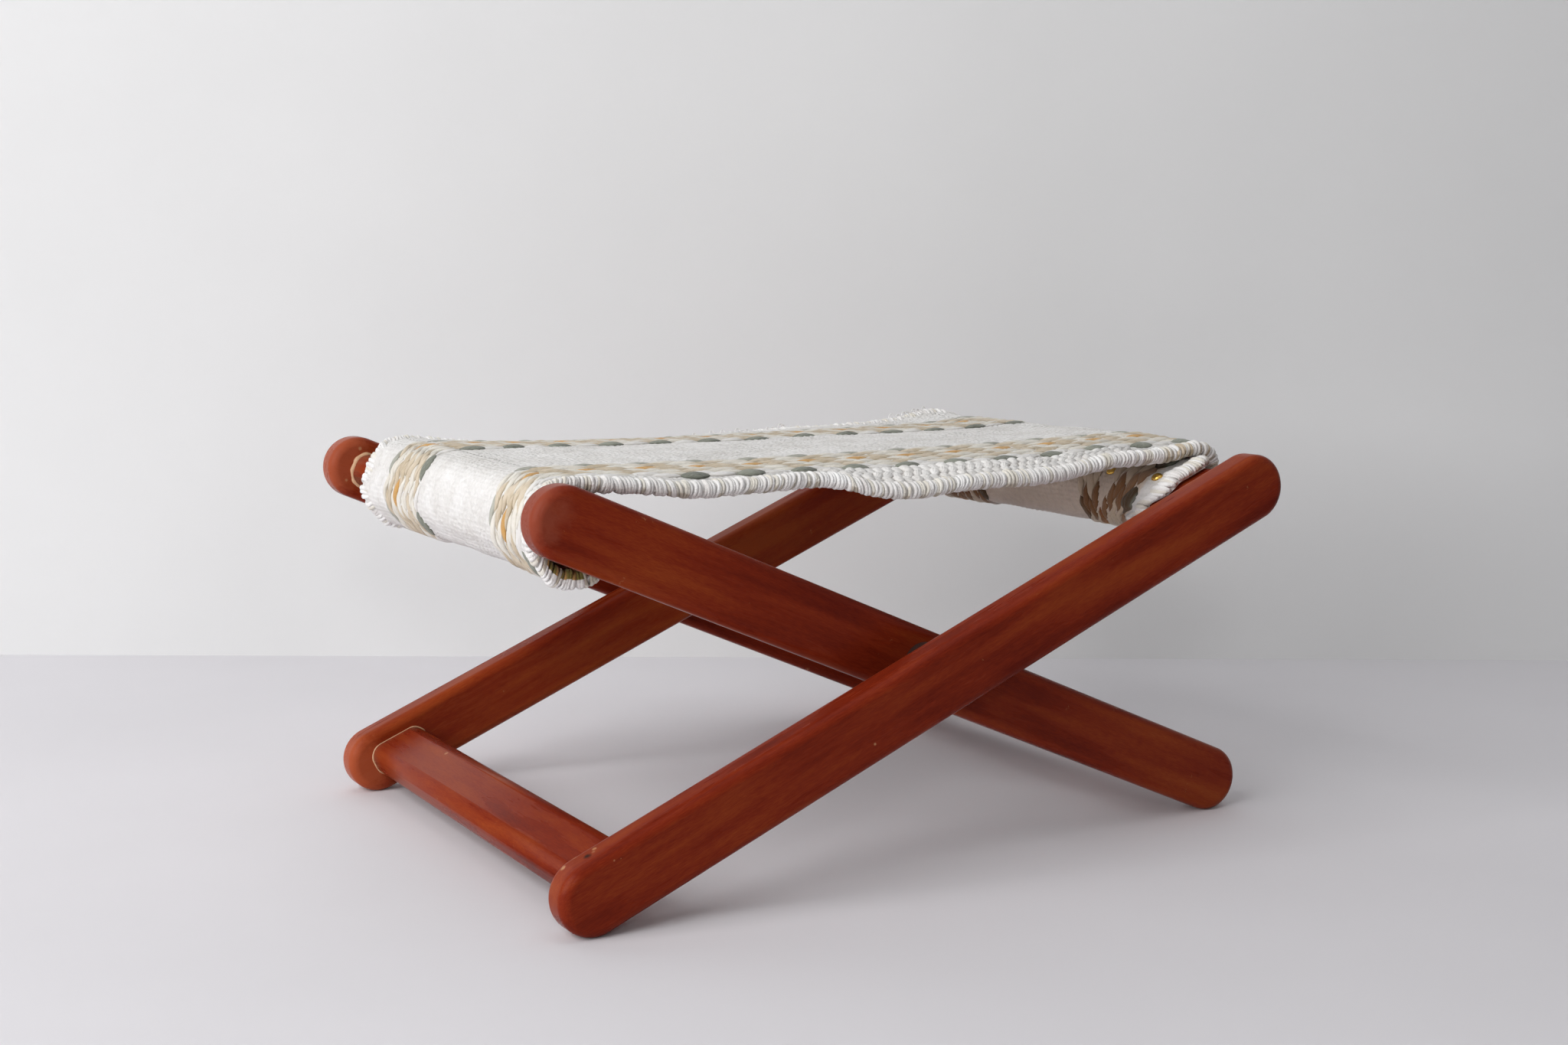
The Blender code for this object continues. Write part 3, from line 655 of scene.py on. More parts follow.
# %% The way round a rail
RAIL_TOP_X = (TOP_RAIL_X + CORNER_ACROSS) * math.cos(SLOPE) - CORNER_UP * math.sin(SLOPE)
RAIL_TOP_Z = (TOP_RAIL_X + CORNER_ACROSS) * math.sin(SLOPE) + CORNER_UP * math.cos(SLOPE) \
    + RAIL_ROUNDOVER + PIVOT_Z
LIP = 12.5 * MM                               # what of the way over a rail belongs to its wrap
SEAT_HALF = RAIL_TOP_X - LIP
CLOTH_WIDTH = 323 * MM
CLOTH = 5 * MM                                # its thickness
KNIT_START = 300 * MM                         # where the plump white knit begins, past the last stripe
KNIT_WIDTH = 14 * MM
KNIT_LEAST = 5 * MM                           # what of it is left where the edge is drawn tight
FLAP_END_ANGLE = 50                           # degrees round the rail, where the flap's cut end lies
LEAVE_ANGLE = 360 + 90 - math.degrees(SLOPE)  # and where the cloth has gone round and leaves the rail
CLOSE_LIFT = 3 * MM                           # off the rail, for the way measured close to it


def smoothstep(value):
    value = np.clip(value, 0.0, 1.0)
    return value * value * (3 - 2 * value)


def round_rail():
    """From the seat's end to the flap's cut end: a centre across and up, and the angle about it."""
    outer_top, inner_top = (CORNER_ACROSS, CORNER_UP), (-CORNER_ACROSS, CORNER_UP)
    outer_low, inner_low = (CORNER_ACROSS, -CORNER_UP), (-CORNER_ACROSS, -CORNER_UP)
    lip_end = (CORNER_ACROSS - LIP * math.cos(SLOPE), CORNER_UP + LIP * math.sin(SLOPE))
    stretches = [(lip_end, outer_top, LEAVE_ANGLE, LEAVE_ANGLE, 12),
                 (outer_top, outer_top, LEAVE_ANGLE, 360, 24), (outer_top, outer_low, 360, 360, 4),
                 (outer_low, outer_low, 360, 270, 24), (outer_low, inner_low, 270, 270, 22),
                 (inner_low, inner_low, 270, 180, 24), (inner_low, inner_top, 180, 180, 4),
                 (inner_top, inner_top, 180, 90, 24), (inner_top, outer_top, 90, 90, 22),
                 (outer_top, outer_top, 90, FLAP_END_ANGLE, 10)]
    rows = []
    for start, stop, from_angle, to_angle, steps in stretches:
        for step in range(steps):
            rows.append([first + (last - first) * (step / steps)
                         for first, last in zip((*start, from_angle), (*stop, to_angle))])
    rows.append([*outer_top, FLAP_END_ANGLE])
    return np.array(rows)


def along_path(rows, lift):
    """Way gone along the middle of a cloth that lies this far off the rail."""
    reach = RAIL_ROUNDOVER + lift
    radians = np.radians(rows[:, 2])
    middle = np.stack([rows[:, 0] + reach * np.cos(radians), rows[:, 1] + reach * np.sin(radians)], axis=1)
    return np.concatenate([[0], np.cumsum(np.linalg.norm(np.diff(middle, axis=0), axis=1))])


RAIL_ROWS = round_rail()
CLOSE_WAY = along_path(RAIL_ROWS, CLOSE_LIFT)
print("way round a rail, close to it:", round(CLOSE_WAY[-1] / MM, 1), "mm")

# %% [markdown]
# ## The seat's surface
# The cloth is taut between the rails, but not flat: it sags a little, its near selvedge waves, and
# both edges roll down. Four lines along it hold the heights, and one smooth curve joins them across.
# The rolls are arcs that bend each edge down by an angle that changes along the seat.

# %% Heights and selvedges of the seat
# Heights of the seat's inner face in mm, read off the photograph along four lines that run its length:
# how far across each line lies, from the far selvedge to the near one, and (x, height) along it
SEAT_LINES = {
    0.00: [(-240, 253.5), (-226, 253), (-180, 249), (-117, 245.5), (-40, 245.5), (12, 247), (81, 250),
           (153, 251.5), (195, 253), (218, 257), (240, 259)],
    0.36: [(-240, 253), (-226, 253), (-150, 252), (-40, 251.3), (0, 251.4), (155, 252.5), (195, 253.5),
           (226, 255), (240, 255.5)],
    0.78: [(-240, 251.5), (-226, 251), (-82, 250.1), (30, 251.6), (116, 253.3), (190, 255.9), (226, 257),
           (240, 257.2)],
    0.95: [(-240, 251), (-226, 250.5), (-145, 247.9), (10, 247.1), (90, 248.7), (129, 249.6), (165, 252.9),
           (207, 252.8), (226, 253.4), (240, 253.8)],
}
LINES_END = 0.98                              # past here across the seat the joined curve isn't followed
# How far the selvedges' last stretch rolls down, in degrees, along the seat
NEAR_ROLL = [(-240, 0), (-226, 0), (-180, 16), (-147, 36), (-108, 26), (-72, 10), (-50, 16), (-24, 39),
             (5, 40), (30, 31), (60, 30), (90, 36), (115, 36), (140, 30), (170, 26), (205, 18), (226, 9),
             (240, 0)]
FAR_ROLL = [(-240, 0), (-226, 0), (-150, 30), (0, 35), (150, 25), (226, 0), (240, 0)]
FAR_ROLL_REACH = 19 * MM
PAST_KNIT = 17 * MM                           # the near roll starts this far before the knit
# How much of the knit shows between the last stripe and the near selvedge, in mm along the seat
NEAR_KNIT = [(-240, 5), (-55, 5), (-30, 14), (0, 19), (40, 17), (90, 15), (125, 11), (160, 8), (195, 6),
             (240, 5)]
# Where the seat's edges lie at its left and its right end, in mm, and how far the far one flares there
SEAT_NEAR = (-150, -163)
SEAT_FAR = (156.5, 153.5)
FAR_FLARE = 7
PROFILE_REACH = 252                           # mm, as are the next two
PROFILE_STEP = 2
SMOOTHING = 24


def profile(pairs):
    """A smooth curve near the given (x, value) pairs, as a function of x in metres."""
    xs, values = zip(*pairs)
    fine = np.arange(-PROFILE_REACH, PROFILE_REACH + 1, PROFILE_STEP)
    raw = np.interp(fine, xs, values)
    window = np.hanning(SMOOTHING // PROFILE_STEP + 3)[1:-1]
    padded = np.pad(raw, len(window) // 2, mode="edge")
    soft = np.convolve(padded, window / window.sum(), mode="valid")
    return lambda x: np.interp(x / MM, fine, soft)


LINE_PLACES = list(SEAT_LINES)
LINE_CURVES = [profile(pairs) for pairs in SEAT_LINES.values()]
near_roll_at = profile(NEAR_ROLL)
far_roll_at = profile(FAR_ROLL)
near_knit_at = profile(NEAR_KNIT)
print("knit that shows at the seat's middle:", round(float(near_knit_at(0)), 1), "mm")

# %% The seat's surface


def seat_height(x, f):
    """Inner face of the seat: one smooth curve across the four measured lines."""
    total = 0.0
    for i, place in enumerate(LINE_PLACES):
        weight = 1.0
        for j, other in enumerate(LINE_PLACES):
            if i != j:
                weight = weight * (f - other) / (place - other)
        total = total + weight * LINE_CURVES[i](x)
    return total * MM


def seat_edges(x):
    share = x / SEAT_HALF / 2 + 0.5
    near = (SEAT_NEAR[0] + (SEAT_NEAR[1] - SEAT_NEAR[0]) * share) * MM
    flare = FAR_FLARE * smoothstep((x / MM - 190) / 40)
    far = (SEAT_FAR[0] + (SEAT_FAR[1] - SEAT_FAR[0]) * share + flare) * MM
    return near, far


def drawn_in(f, knit):
    """Way across the cloth from the far selvedge in metres, with its knit zone drawn in to a width."""
    v = f * CLOTH_WIDTH
    return v - (KNIT_WIDTH - knit) * smoothstep((v - KNIT_START) / KNIT_WIDTH)


def rolled(gone, bend):
    """How far across and down a stretch of this length goes when it bends evenly, radians a metre."""
    bend = np.maximum(bend, 1e-4)
    return np.sin(bend * gone) / bend, (1 - np.cos(bend * gone)) / bend


def place_seat(g, f, h):
    g, f, h = np.broadcast_arrays(g, f, h)
    near, far = seat_edges(g)
    width = far - near
    knit = near_knit_at(g) * MM
    from_far = drawn_in(f, knit) * width / (CLOTH_WIDTH - KNIT_WIDTH + KNIT_LEAST)
    whole = drawn_in(1.0, knit) * width / (CLOTH_WIDTH - KNIT_WIDTH + KNIT_LEAST)
    near_reach = knit + PAST_KNIT
    near_gone = np.clip(near_reach - (whole - from_far), 0, None)
    far_gone = np.clip(FAR_ROLL_REACH - from_far, 0, None)
    near_bend = np.radians(near_roll_at(g)) / near_reach
    far_bend = np.radians(far_roll_at(g)) / FAR_ROLL_REACH
    near_across, near_down = rolled(near_gone, near_bend)
    far_across, far_down = rolled(far_gone, far_bend)
    y = far - from_far + near_gone - near_across - far_gone + far_across
    z = seat_height(g, np.minimum(from_far / width, LINES_END)) - near_down - far_down
    turn = -near_bend * near_gone + far_bend * far_gone
    return np.stack([g, y + h * np.sin(turn), z + h * np.cos(turn)], axis=-1)


print("seat at its middle:", round(float(place_seat(0, 0.5, 0)[2]) / MM, 1), "mm above the floor")

# %% [markdown]
# ## The wraps' surfaces
# A wrap lies in two layers round its rail and stands off it where it is slack, most of all under the
# left rail, where it hangs in a loop. Its selvedges don't run straight round either: on the right the
# near one is drawn far in below, and takes the stripes part of the way with it. Short tables by the
# angle round the rail hold all that, and one function bends the flat cloth to them.

# %% Slack and selvedges of the wraps
# How far the cloth stands off the rail along its way round it, in mm
RIGHT_LIFT = [(-30, 13), (12, 13), (22, 13), (28, 9), (34, 4), (42, 2), (56, 4), (66, 6.5), (76, 8), (85, 7),
              (94, 4.5), (104, 2.5), (118, 0.5), (152, 0.3)]
LEFT_LIFT = [(-30, 13), (6, 13), (14, 10), (20, 6.5), (27, 3), (33, 0.8), (38, 0.6), (44, 2.5), (50, 6.5),
             (57, 11.5), (64, 13.5), (72, 12), (80, 8.5), (88, 5), (96, 1.5), (103, 0.3), (152, 0.3)]
LOOP_START = 40                               # mm of way, where the left wrap's loop hangs free
LOOP_END = 100
LOOP_END_SLACK = 4.5 * MM                     # how much deeper the loop hangs at its near end
LOOP_END_REACH = 35 * MM
SEAT_FADE = 32 * MM                           # the seat's heights fade out over this stretch of a wrap
# Where the selvedges lie as the cloth goes round a rail: (angle round the rail, y), in degrees and mm
RIGHT_NEAR = [(50, -170), (90, -177), (120, -178), (135, -176.5), (150, -173), (165, -164.5), (180, -155),
              (195, -140), (225, -134), (270, -142), (330, -155), (360, -161), (400, -163), (430, -163)]
LEFT_NEAR = [(50, -150), (290, -150), (320, -152), (360, -155.5), (395, -155.5), (415, -153), (430, -150)]
LEFT_FAR = [(50, 152), (290, 156), (320, 155), (360, 147), (390, 144), (410, 148), (430, 156.5)]
# And how much of the white knit shows there on the right
RIGHT_KNIT = [(50, 8), (105, 13), (135, 14), (150, 14), (165, 12), (180, 8), (195, 5), (430, 5)]
# The near stripes do not follow that selvedge all the way: how far they lie from where it would pull them
STRIPE_START = 243 * MM
RIGHT_STRAY = [(50, 10), (80, 26), (95, 27.5), (105, 25), (120, 21), (135, 16.5), (150, 11), (165, 5.4),
               (180, 0.4), (195, -11.8), (210, -14.2), (240, -8), (270, 0), (430, 0)]
print("the left wrap's loop hangs", max(lift for _, lift in LEFT_LIFT), "mm off the rail")

# %% The wraps' surfaces


def measured_way(pairs):
    """How far the cloth stands off at each sample round the rail, and the true way gone there."""
    lift = profile(pairs)(CLOSE_WAY) * MM
    return lift, along_path(RAIL_ROWS, lift + CLOTH / 2)


WAYS = {1: measured_way(RIGHT_LIFT), -1: measured_way(LEFT_LIFT)}
WRAP_LENGTH = {side: float(way[-1]) for side, (_, way) in WAYS.items()}


def close_way(side, g):
    """Way gone close to the rail, in mm, for a place g along the cloth."""
    return np.interp(np.abs(g) - SEAT_HALF, WAYS[side][1], CLOSE_WAY) / MM


def by_angle(pairs, angle):
    angles, values = zip(*pairs)
    return np.interp(angle, angles, values) * MM


def place_wrap(side, g, f, h):
    """side 1 is the right wrap on frame a, -1 the left wrap on frame b."""
    g, f, h = np.broadcast_arrays(g, f, h)
    lifts, ways = WAYS[side]
    way = np.abs(g) - SEAT_HALF
    inside = np.clip(way, 0, ways[-1])
    close, center_x, center_z, angle, lift = (
        np.interp(inside, ways, values) for values in (CLOSE_WAY, *RAIL_ROWS.T, lifts))
    center_x = center_x + np.minimum(way, 0) * math.cos(SLOPE)
    center_z = center_z - np.minimum(way, 0) * math.sin(SLOPE)
    rise = 1 - smoothstep(close / SEAT_FADE)
    seat_end = np.full_like(g, side * SEAT_HALF)
    across = np.minimum(drawn_in(f, KNIT_LEAST) / drawn_in(1.0, KNIT_LEAST), LINES_END)
    lift = lift + (seat_height(seat_end, across) - RAIL_TOP_Z - lifts[0]) * rise
    near, far, knit = by_angle(LEFT_NEAR, angle), by_angle(LEFT_FAR, angle), KNIT_LEAST
    if side > 0:
        near, knit = by_angle(RIGHT_NEAR, angle), by_angle(RIGHT_KNIT, angle)
        far_end = seat_edges(seat_end)[1]
        far = far_end + (SEAT_FAR[1] * MM - far_end) * (1 - rise)
    share = drawn_in(f, knit) / drawn_in(1.0, knit)
    y = far + (near - far) * share
    if side > 0:
        turn = drawn_in(STRIPE_START / CLOTH_WIDTH, knit) / drawn_in(1.0, knit)
        y = y + by_angle(RIGHT_STRAY, angle) * np.minimum(share / turn, (1 - share) / (1 - turn))
    else:
        hang = np.sin(math.pi * np.clip((close / MM - LOOP_START) / (LOOP_END - LOOP_START), 0, 1)) ** 2
        lift = lift + hang * LOOP_END_SLACK * np.exp((LEFT_NEAR[0][1] * MM - y) / LOOP_END_REACH)
    radians = np.radians(angle)
    reach = RAIL_ROUNDOVER + lift + h
    x = TOP_RAIL_X + center_x + reach * np.cos(radians)
    z = center_z + reach * np.sin(radians)
    return np.stack([side * (x * math.cos(SLOPE) - z * math.sin(SLOPE)), y,
                     PIVOT_Z + x * math.sin(SLOPE) + z * math.cos(SLOPE)], axis=-1)


# The cloth's three parts: what places each, and where it starts and stops along the cloth, in metres
PARTS = {
    "seat": (place_seat, -SEAT_HALF, SEAT_HALF),
    "wrap_right": (lambda g, f, h: place_wrap(1, g, f, h), SEAT_HALF, SEAT_HALF + WRAP_LENGTH[1]),
    "wrap_left": (lambda g, f, h: place_wrap(-1, g, f, h), -SEAT_HALF - WRAP_LENGTH[-1], -SEAT_HALF),
}
print("cloth from flap to flap:", round((2 * SEAT_HALF + sum(WRAP_LENGTH.values())) / MM), "mm")

# %% [markdown]
# ## Wool and cotton
# The ground is thick undyed wool on cotton, woven so close that it shows as small rounded bumps. Wool
# scatters light, so it is rough, with a faint sheen of loose fibres; its IOR and specular level are a
# little below a plastic's. The weave is drawn from the place on the cloth that every vertex carries, so
# it follows the cloth round the rails. Shade is painted into the colour at a yarn's foot, where it dives
# into the ground, and in the crevices of the ground's weave.

# %% Yarn materials
WEAVE_ALONG = 3.2                             # mm, one rib of the ground weave, as are the sizes below
WEAVE_ACROSS = 5.5
FIBRE_SIZES = (3.846, 0.6667, 1.111)          # tufts of fibres, along, across and up
MOTTLE_SIZE = 22.222
FOOT_SHADE_HEIGHT = 1.1
CREVICE_SHADE = srgb("9A948C")


def wool(name, light_code, dark_code, foot_shade_code="8C7C68", rail_shade_code="A27D5E", ground=False):
    material, tree, shader = new_material(name, 0.92, ior=1.45)
    shader.inputs["Specular IOR Level"].default_value = 0.25
    shader.inputs["Sheen Weight"].default_value = 0.25
    shader.inputs["Sheen Roughness"].default_value = 0.5
    place = add_node(tree, "Attribute", {"attribute_name": "cloth_place"})
    fibre_place = add_node(tree, "Mapping", {"Scale": per_metre(*FIBRE_SIZES)},
                           {"Vector": place.outputs["Vector"]})
    fibres = add_node(tree, "TexNoise", {"Scale": 1.0, "Detail": 3.0}, {"Vector": fibre_place.outputs[0]})
    mottle = add_node(tree, "TexNoise", {"Scale": 1000 / MOTTLE_SIZE, "Detail": 4.0},
                      {"Vector": place.outputs["Vector"]})
    blend = add_node(tree, "Math", {"operation": "MULTIPLY_ADD", 1: 0.6},
                     {0: fibres.outputs["Fac"], 2: mottle.outputs["Fac"]})
    color = add_node(tree, "ValToRGB", {"stops": [(0.45, srgb(dark_code)), (0.95, srgb(light_code))]},
                     {"Fac": blend.outputs[0]})
    if ground:
        weave_place = add_node(tree, "Mapping", {"Scale": (*per_metre(WEAVE_ALONG, WEAVE_ACROSS), 1)},
                               {"Vector": place.outputs["Vector"]})
        bumps = add_node(tree, "TexVoronoi", {"Scale": 1.0, "Randomness": 0.45, "voronoi_dimensions": "2D",
                                              "feature": "SMOOTH_F1"}, {"Vector": weave_place.outputs[0]})
        height = add_node(tree, "Math", {"operation": "MULTIPLY_ADD", 1: -1.6},
                          {0: bumps.outputs["Distance"], 2: fibres.outputs["Fac"]})
        # Painted shade: the ground's colour darkens in the crevices between its bumps.
        low = add_node(tree, "MapRange", {"From Min": 0.42, "From Max": 0.95, "To Max": 0.55},
                       {"Value": bumps.outputs["Distance"]})
        shade_color = CREVICE_SHADE
    else:
        height = fibres
        parts = add_node(tree, "SeparateXYZ", links={0: place.outputs["Vector"]})
        # Painted shade: a yarn's colour darkens towards its foot, where it dives into the ground.
        low = add_node(tree, "MapRange", {"From Min": 0.0, "From Max": FOOT_SHADE_HEIGHT * MM, "To Min": 0.6,
                                          "To Max": 0.0}, {"Value": parts.outputs["Z"]})
        shade_color = srgb(foot_shade_code)
    paint = add_node(tree, "Mix", {"data_type": "RGBA", 7: shade_color},
                     {0: low.outputs[0], 6: color.outputs[0]})
    # Painted shade with a warm cast of light off the wood: the cloth under the seat is multiplied by a brown.
    stain_and_shade = add_node(tree, "Attribute", {"attribute_name": "rail_stain"})
    paint = add_node(tree, "Mix", {"data_type": "RGBA", "blend_type": "MULTIPLY", 7: srgb(rail_shade_code)},
                     {0: stain_and_shade.outputs["Fac"], 6: paint.outputs[2]})
    bump = add_node(tree, "Bump", {"Strength": 0.7, "Distance": 0.0012}, {"Height": height.outputs[0]})
    plug(tree, shader, {"Base Color": paint.outputs[2], "Normal": bump.outputs[0]})
    return material


YARNS = {
    "white": wool("woven_wool_white", "F4F2F0", "DCD8D3", rail_shade_code="EADACA", ground=True),
    "knit": wool("wool_yarn_white", "F5F3F1", "E0DCD7", foot_shade_code="A8A097"),
    "whip": wool("cotton_thread_white", "FCFBFA", "E0DAD6", foot_shade_code="F2EFEC"),
    "cream": wool("wool_yarn_cream", "F0ECE3", "DAD2C4", foot_shade_code="A2937C", rail_shade_code="E6D6C4"),
    "beige": wool("wool_yarn_beige", "DED0BB", "BCA98A", foot_shade_code="8F7E62"),
    "ochre": wool("wool_yarn_ochre", "E0B06A", "C08E4E", foot_shade_code="A5804C"),
    "olive": wool("wool_yarn_olive", "B3A35A", "857634", foot_shade_code="6A5E2C", rail_shade_code="F0E6D0"),
    "pale_grey": wool("wool_yarn_pale_grey", "BDBCB1", "93938A", foot_shade_code="7C7A70"),
    "grey_green": wool("wool_yarn_grey_green", "979A8D", "5A5D54", foot_shade_code="45453E"),
}
YARN_ORDER = list(YARNS)
print("yarns:", ", ".join(YARN_ORDER))

# %% [markdown]
# ## The ground cloth
# The ground is a closed sheet, thinner at its selvedges. The larger bumps of its weave and the slow
# unevenness of hand weaving are in its shape, where they change the outline, and the finer ones are
# left to the material. Where it lies against a rail under the seat, painted shade darkens and warms it,
# as if with light off the red-brown wood.

# %% The ground cloth
GRID_ALONG = 1.7 * MM
GRID_ACROSS = 1.9 * MM
EDGE_SWELL = 10.5 * MM                        # the bound edge is thicker up to here
OVER_RAIL = 55 * MM                           # and most of all on the seat and this far past it


def rail_stain(part, g, v):
    """Painted shade, warmed as if with light off the red-brown rails, on the cloth that lies against them,
    under the seat.
    """
    if part == "seat":
        return np.zeros(g.size)
    close = close_way(1 if part == "wrap_right" else -1, g)
    return (smoothstep((close - 70) / 22) * (1 - smoothstep((v / MM - 299) / 4))).ravel()


def near_seat(g):
    """1 on the seat and just past it, 0 further round the rails."""
    return smoothstep((SEAT_HALF + OVER_RAIL - np.abs(g)) / (25 * MM))


def cloth_mesh(name, points, quads, places, stain_and_shade, yarn_numbers=None):
    piece = mesh_object(name, points, quads)
    for yarn in YARN_ORDER:
        piece.data.materials.append(YARNS[yarn])
    layer = piece.data.attributes.new("cloth_place", "FLOAT_VECTOR", "POINT")
    layer.data.foreach_set("vector", np.ascontiguousarray(places, dtype=np.float32).ravel())
    layer = piece.data.attributes.new("rail_stain", "FLOAT", "POINT")
    layer.data.foreach_set("value", np.ascontiguousarray(stain_and_shade, dtype=np.float32))
    if yarn_numbers is not None:
        piece.data.polygons.foreach_set("material_index", np.asarray(yarn_numbers, dtype=np.int32))
    return piece


def ground_relief(g, f):
    """Bumps where warp and weft cross, and the slow unevenness of hand weaving; the same every run."""
    v = f * CLOTH_WIDTH / MM
    g = g / MM
    drift = 1.3 * np.sin(v / 23) + 0.8 * np.sin(g / 37 + v / 11)
    bumps = np.sin(2 * math.pi * (g + drift) / 5.2) * np.sin(2 * math.pi * (v + 0.6 * drift) / 6.4)
    slow = 0.25 * np.sin(g / 17 + 2 * np.sin(v / 31)) + 0.2 * np.sin(v / 9 + g / 40)
    return (0.45 * bumps * (1 + 0.5 * np.sin(g / 29 + v / 19)) + slow) * MM


def make_ground(part):
    place, start, stop = PARTS[part]
    rows = round((stop - start) / GRID_ALONG) + 1
    columns = round(CLOTH_WIDTH / GRID_ACROSS) + 1
    g, f = np.meshgrid(np.linspace(start, stop, rows), np.linspace(0, 1, columns), indexing="ij")
    edge = np.minimum(f, 1 - f) * CLOTH_WIDTH
    thick = CLOTH * (0.35 + 0.65 * smoothstep(edge / (3.5 * MM)))
    over = near_seat(g)
    swell = smoothstep(edge / (3 * MM)) * smoothstep((EDGE_SWELL - edge) / (3 * MM)) * MM
    relief = ground_relief(g, f) * smoothstep((edge - 6 * MM) / (6 * MM))
    top = place(g, f, thick + relief + (1.8 - 0.5 * over) * swell)
    low = place(g, f, (CLOTH - thick) * 0.5 - 1.2 * over * swell)
    points = np.concatenate([top.reshape(-1, 3), low.reshape(-1, 3)])
    places = np.stack([g, f * CLOTH_WIDTH, thick], axis=-1).reshape(-1, 3)
    places = np.concatenate([places, places * (1, 1, 0)])
    index = np.arange(rows * columns).reshape(rows, columns)
    quads = np.stack([index[:-1, :-1], index[1:, :-1], index[1:, 1:], index[:-1, 1:]], axis=-1).reshape(-1, 4)
    under = quads[:, ::-1] + rows * columns
    rim = np.concatenate([index[0, :], index[1:, -1], index[-1, -2::-1], index[-2:0:-1, 0]])
    after = np.roll(rim, -1)
    sides = np.stack([rim, after, after + rows * columns, rim + rows * columns], axis=-1)
    stain_and_shade = np.tile(rail_stain(part, g, f * CLOTH_WIDTH), 2)
    piece = cloth_mesh("cloth_" + part, points, np.concatenate([quads, under, sides]), places, stain_and_shade)
    turn_faces_out(piece.data)
    return piece


print("bumps of the weave, in mm:", round(float(ground_relief(np.linspace(0, 0.1, 200), 0.4).max()) / MM, 2))

# %% [markdown]
# ## Stripes of long stitches
# The stripes are rows of long floats, each a bundle of three yarns that lies on the ground like an
# almond and pinches in at both ends where it dives under. Painted on, they would look flat from as low
# as this, so each one is a small closed mesh. Stitches of neighbouring rows are shifted, so they lock
# like bricks. Each row repeats one dyed stitch and one undyed one.

# %% Stripe rows
PITCH = 38.4                                  # mm between two dyed stitches of a row
STITCH_LENGTH = 21.5
STITCH_WIDTH = 5.6
STITCH_HEIGHT = 2.0
STITCH_LEAN = 6                               # degrees, to one side and the other in turn
DARK_LENGTH = 21.0
DARK_HEIGHT = 2.7
# Rows by their distance from the far selvedge in mm: dyed yarn, the yarn between, shift of the first
# dyed stitch in mm, and how wide its stitches are against the rest
STRIPE_ROWS = [
    (50, "pale_grey", "cream", 2.0, 1.0), (55.5, "beige", "cream", 11.5, 1.0),
    (61, "cream", "beige", 2.0, 1.0), (66.5, "beige", "cream", 30.5, 1.0),
    (72, "ochre", "beige", 21.2, 1.15), (77.3, "cream", "beige", 11.5, 1.0),
    (82.3, "beige", "cream", 2.0, 1.0), (87.4, "beige", "cream", 30.5, 0.9),
    (92.6, "cream", "beige", 21.2, 1.0), (97.8, "beige", "cream", 11.5, 1.0),
    (103, "cream", "beige", 21.2, 1.0), (108, "beige", "cream", 30.5, 0.9),
    (113.5, "grey_green", "knit", 2.0, 1.75),
    (244, "pale_grey", "cream", -0.5, 1.0), (249.5, "beige", "cream", 9.0, 1.0),
    (255, "cream", "beige", 18.0, 1.0), (260.5, "beige", "cream", 9.0, 1.0),
    (266, "ochre", "beige", 31.0, 1.25), (271.3, "cream", "beige", 21.0, 1.0),
    (276.3, "beige", "cream", 11.0, 1.0), (281.4, "cream", "beige", 2.0, 1.0),
    (286.4, "beige", "cream", 11.0, 1.0), (291, "cream", "knit", 2.0, 0.9),
    (296.5, "grey_green", "knit", 12.0, 1.9),
]
print("rows of stitches:", len(STRIPE_ROWS))

# %% One stitch
STITCH_RINGS = 15
CROWN_POINTS = 13


def almond():
    """A closed three-yarn bundle of unit length, width and height: (along, across, up) and its quads."""
    along = np.linspace(-1, 1, STITCH_RINGS)[:, None]
    across = np.linspace(-1, 1, CROWN_POINTS)[None, :]
    below = np.array([[0.6, 0, -0.6]])
    shape = np.clip(1 - np.abs(along) ** 1.9, 0.02, 1) ** 0.95
    lobes = 0.72 + 0.28 * np.abs(np.cos(math.pi * (2 * across + 0.6 * along)))
    crown = np.sqrt(np.clip(1 - across ** 2, 0, 1)) * lobes
    halves = [np.stack(np.broadcast_arrays(along * 0.5, shape * across * 0.5, shape ** 0.7 * crown), axis=-1),
              np.stack(np.broadcast_arrays(along * 0.5, shape * below * 0.5, -0.5), axis=-1)]
    return tube_faces(np.concatenate(halves, axis=1), closed_ends=True)


def make_stitches(part, stitches):
    """stitches: rows of (g, v, length, width, height, lean, yarn number), all in metres and radians."""
    local, quads = almond()
    columns = np.array(stitches).T[:, :, None]
    g0, v0, length, width, height, lean, yarn = columns
    a = local[None, :, 0] * length
    b = local[None, :, 1] * width
    up = local[None, :, 2] * height
    g = g0 + a * np.cos(lean) - b * np.sin(lean)
    v = v0 + a * np.sin(lean) + b * np.cos(lean)
    points = PARTS[part][0](g, v / CLOTH_WIDTH, CLOTH + up - 0.2 * MM)
    places = np.stack([g + yarn, v, up], axis=-1)
    faces = (quads[None] + (np.arange(len(stitches)) * len(local))[:, None, None]).reshape(-1, 4)
    return cloth_mesh("stitches_" + part, points.reshape(-1, 3), faces, places.reshape(-1, 3),
                      rail_stain(part, g, v), np.repeat(yarn.astype(int), len(quads)))


print("points in one stitch:", len(almond()[0]))

# %% Where the stitches lie
FAR_DRIFT = 13 * MM                           # how far the far rows drift along the cloth past its left end
LEFT_DRIFT = 5 * MM                           # and the near rows towards their edge on the left wrap
RIGHT_SPREAD = 1.35                           # the near rows' yarns lie wider on the right wrap
BARE_STRETCH = (-SEAT_HALF - 32 * MM, -152 * MM)    # where the last row has no dark stitch
TACK_FREE = 9 * MM


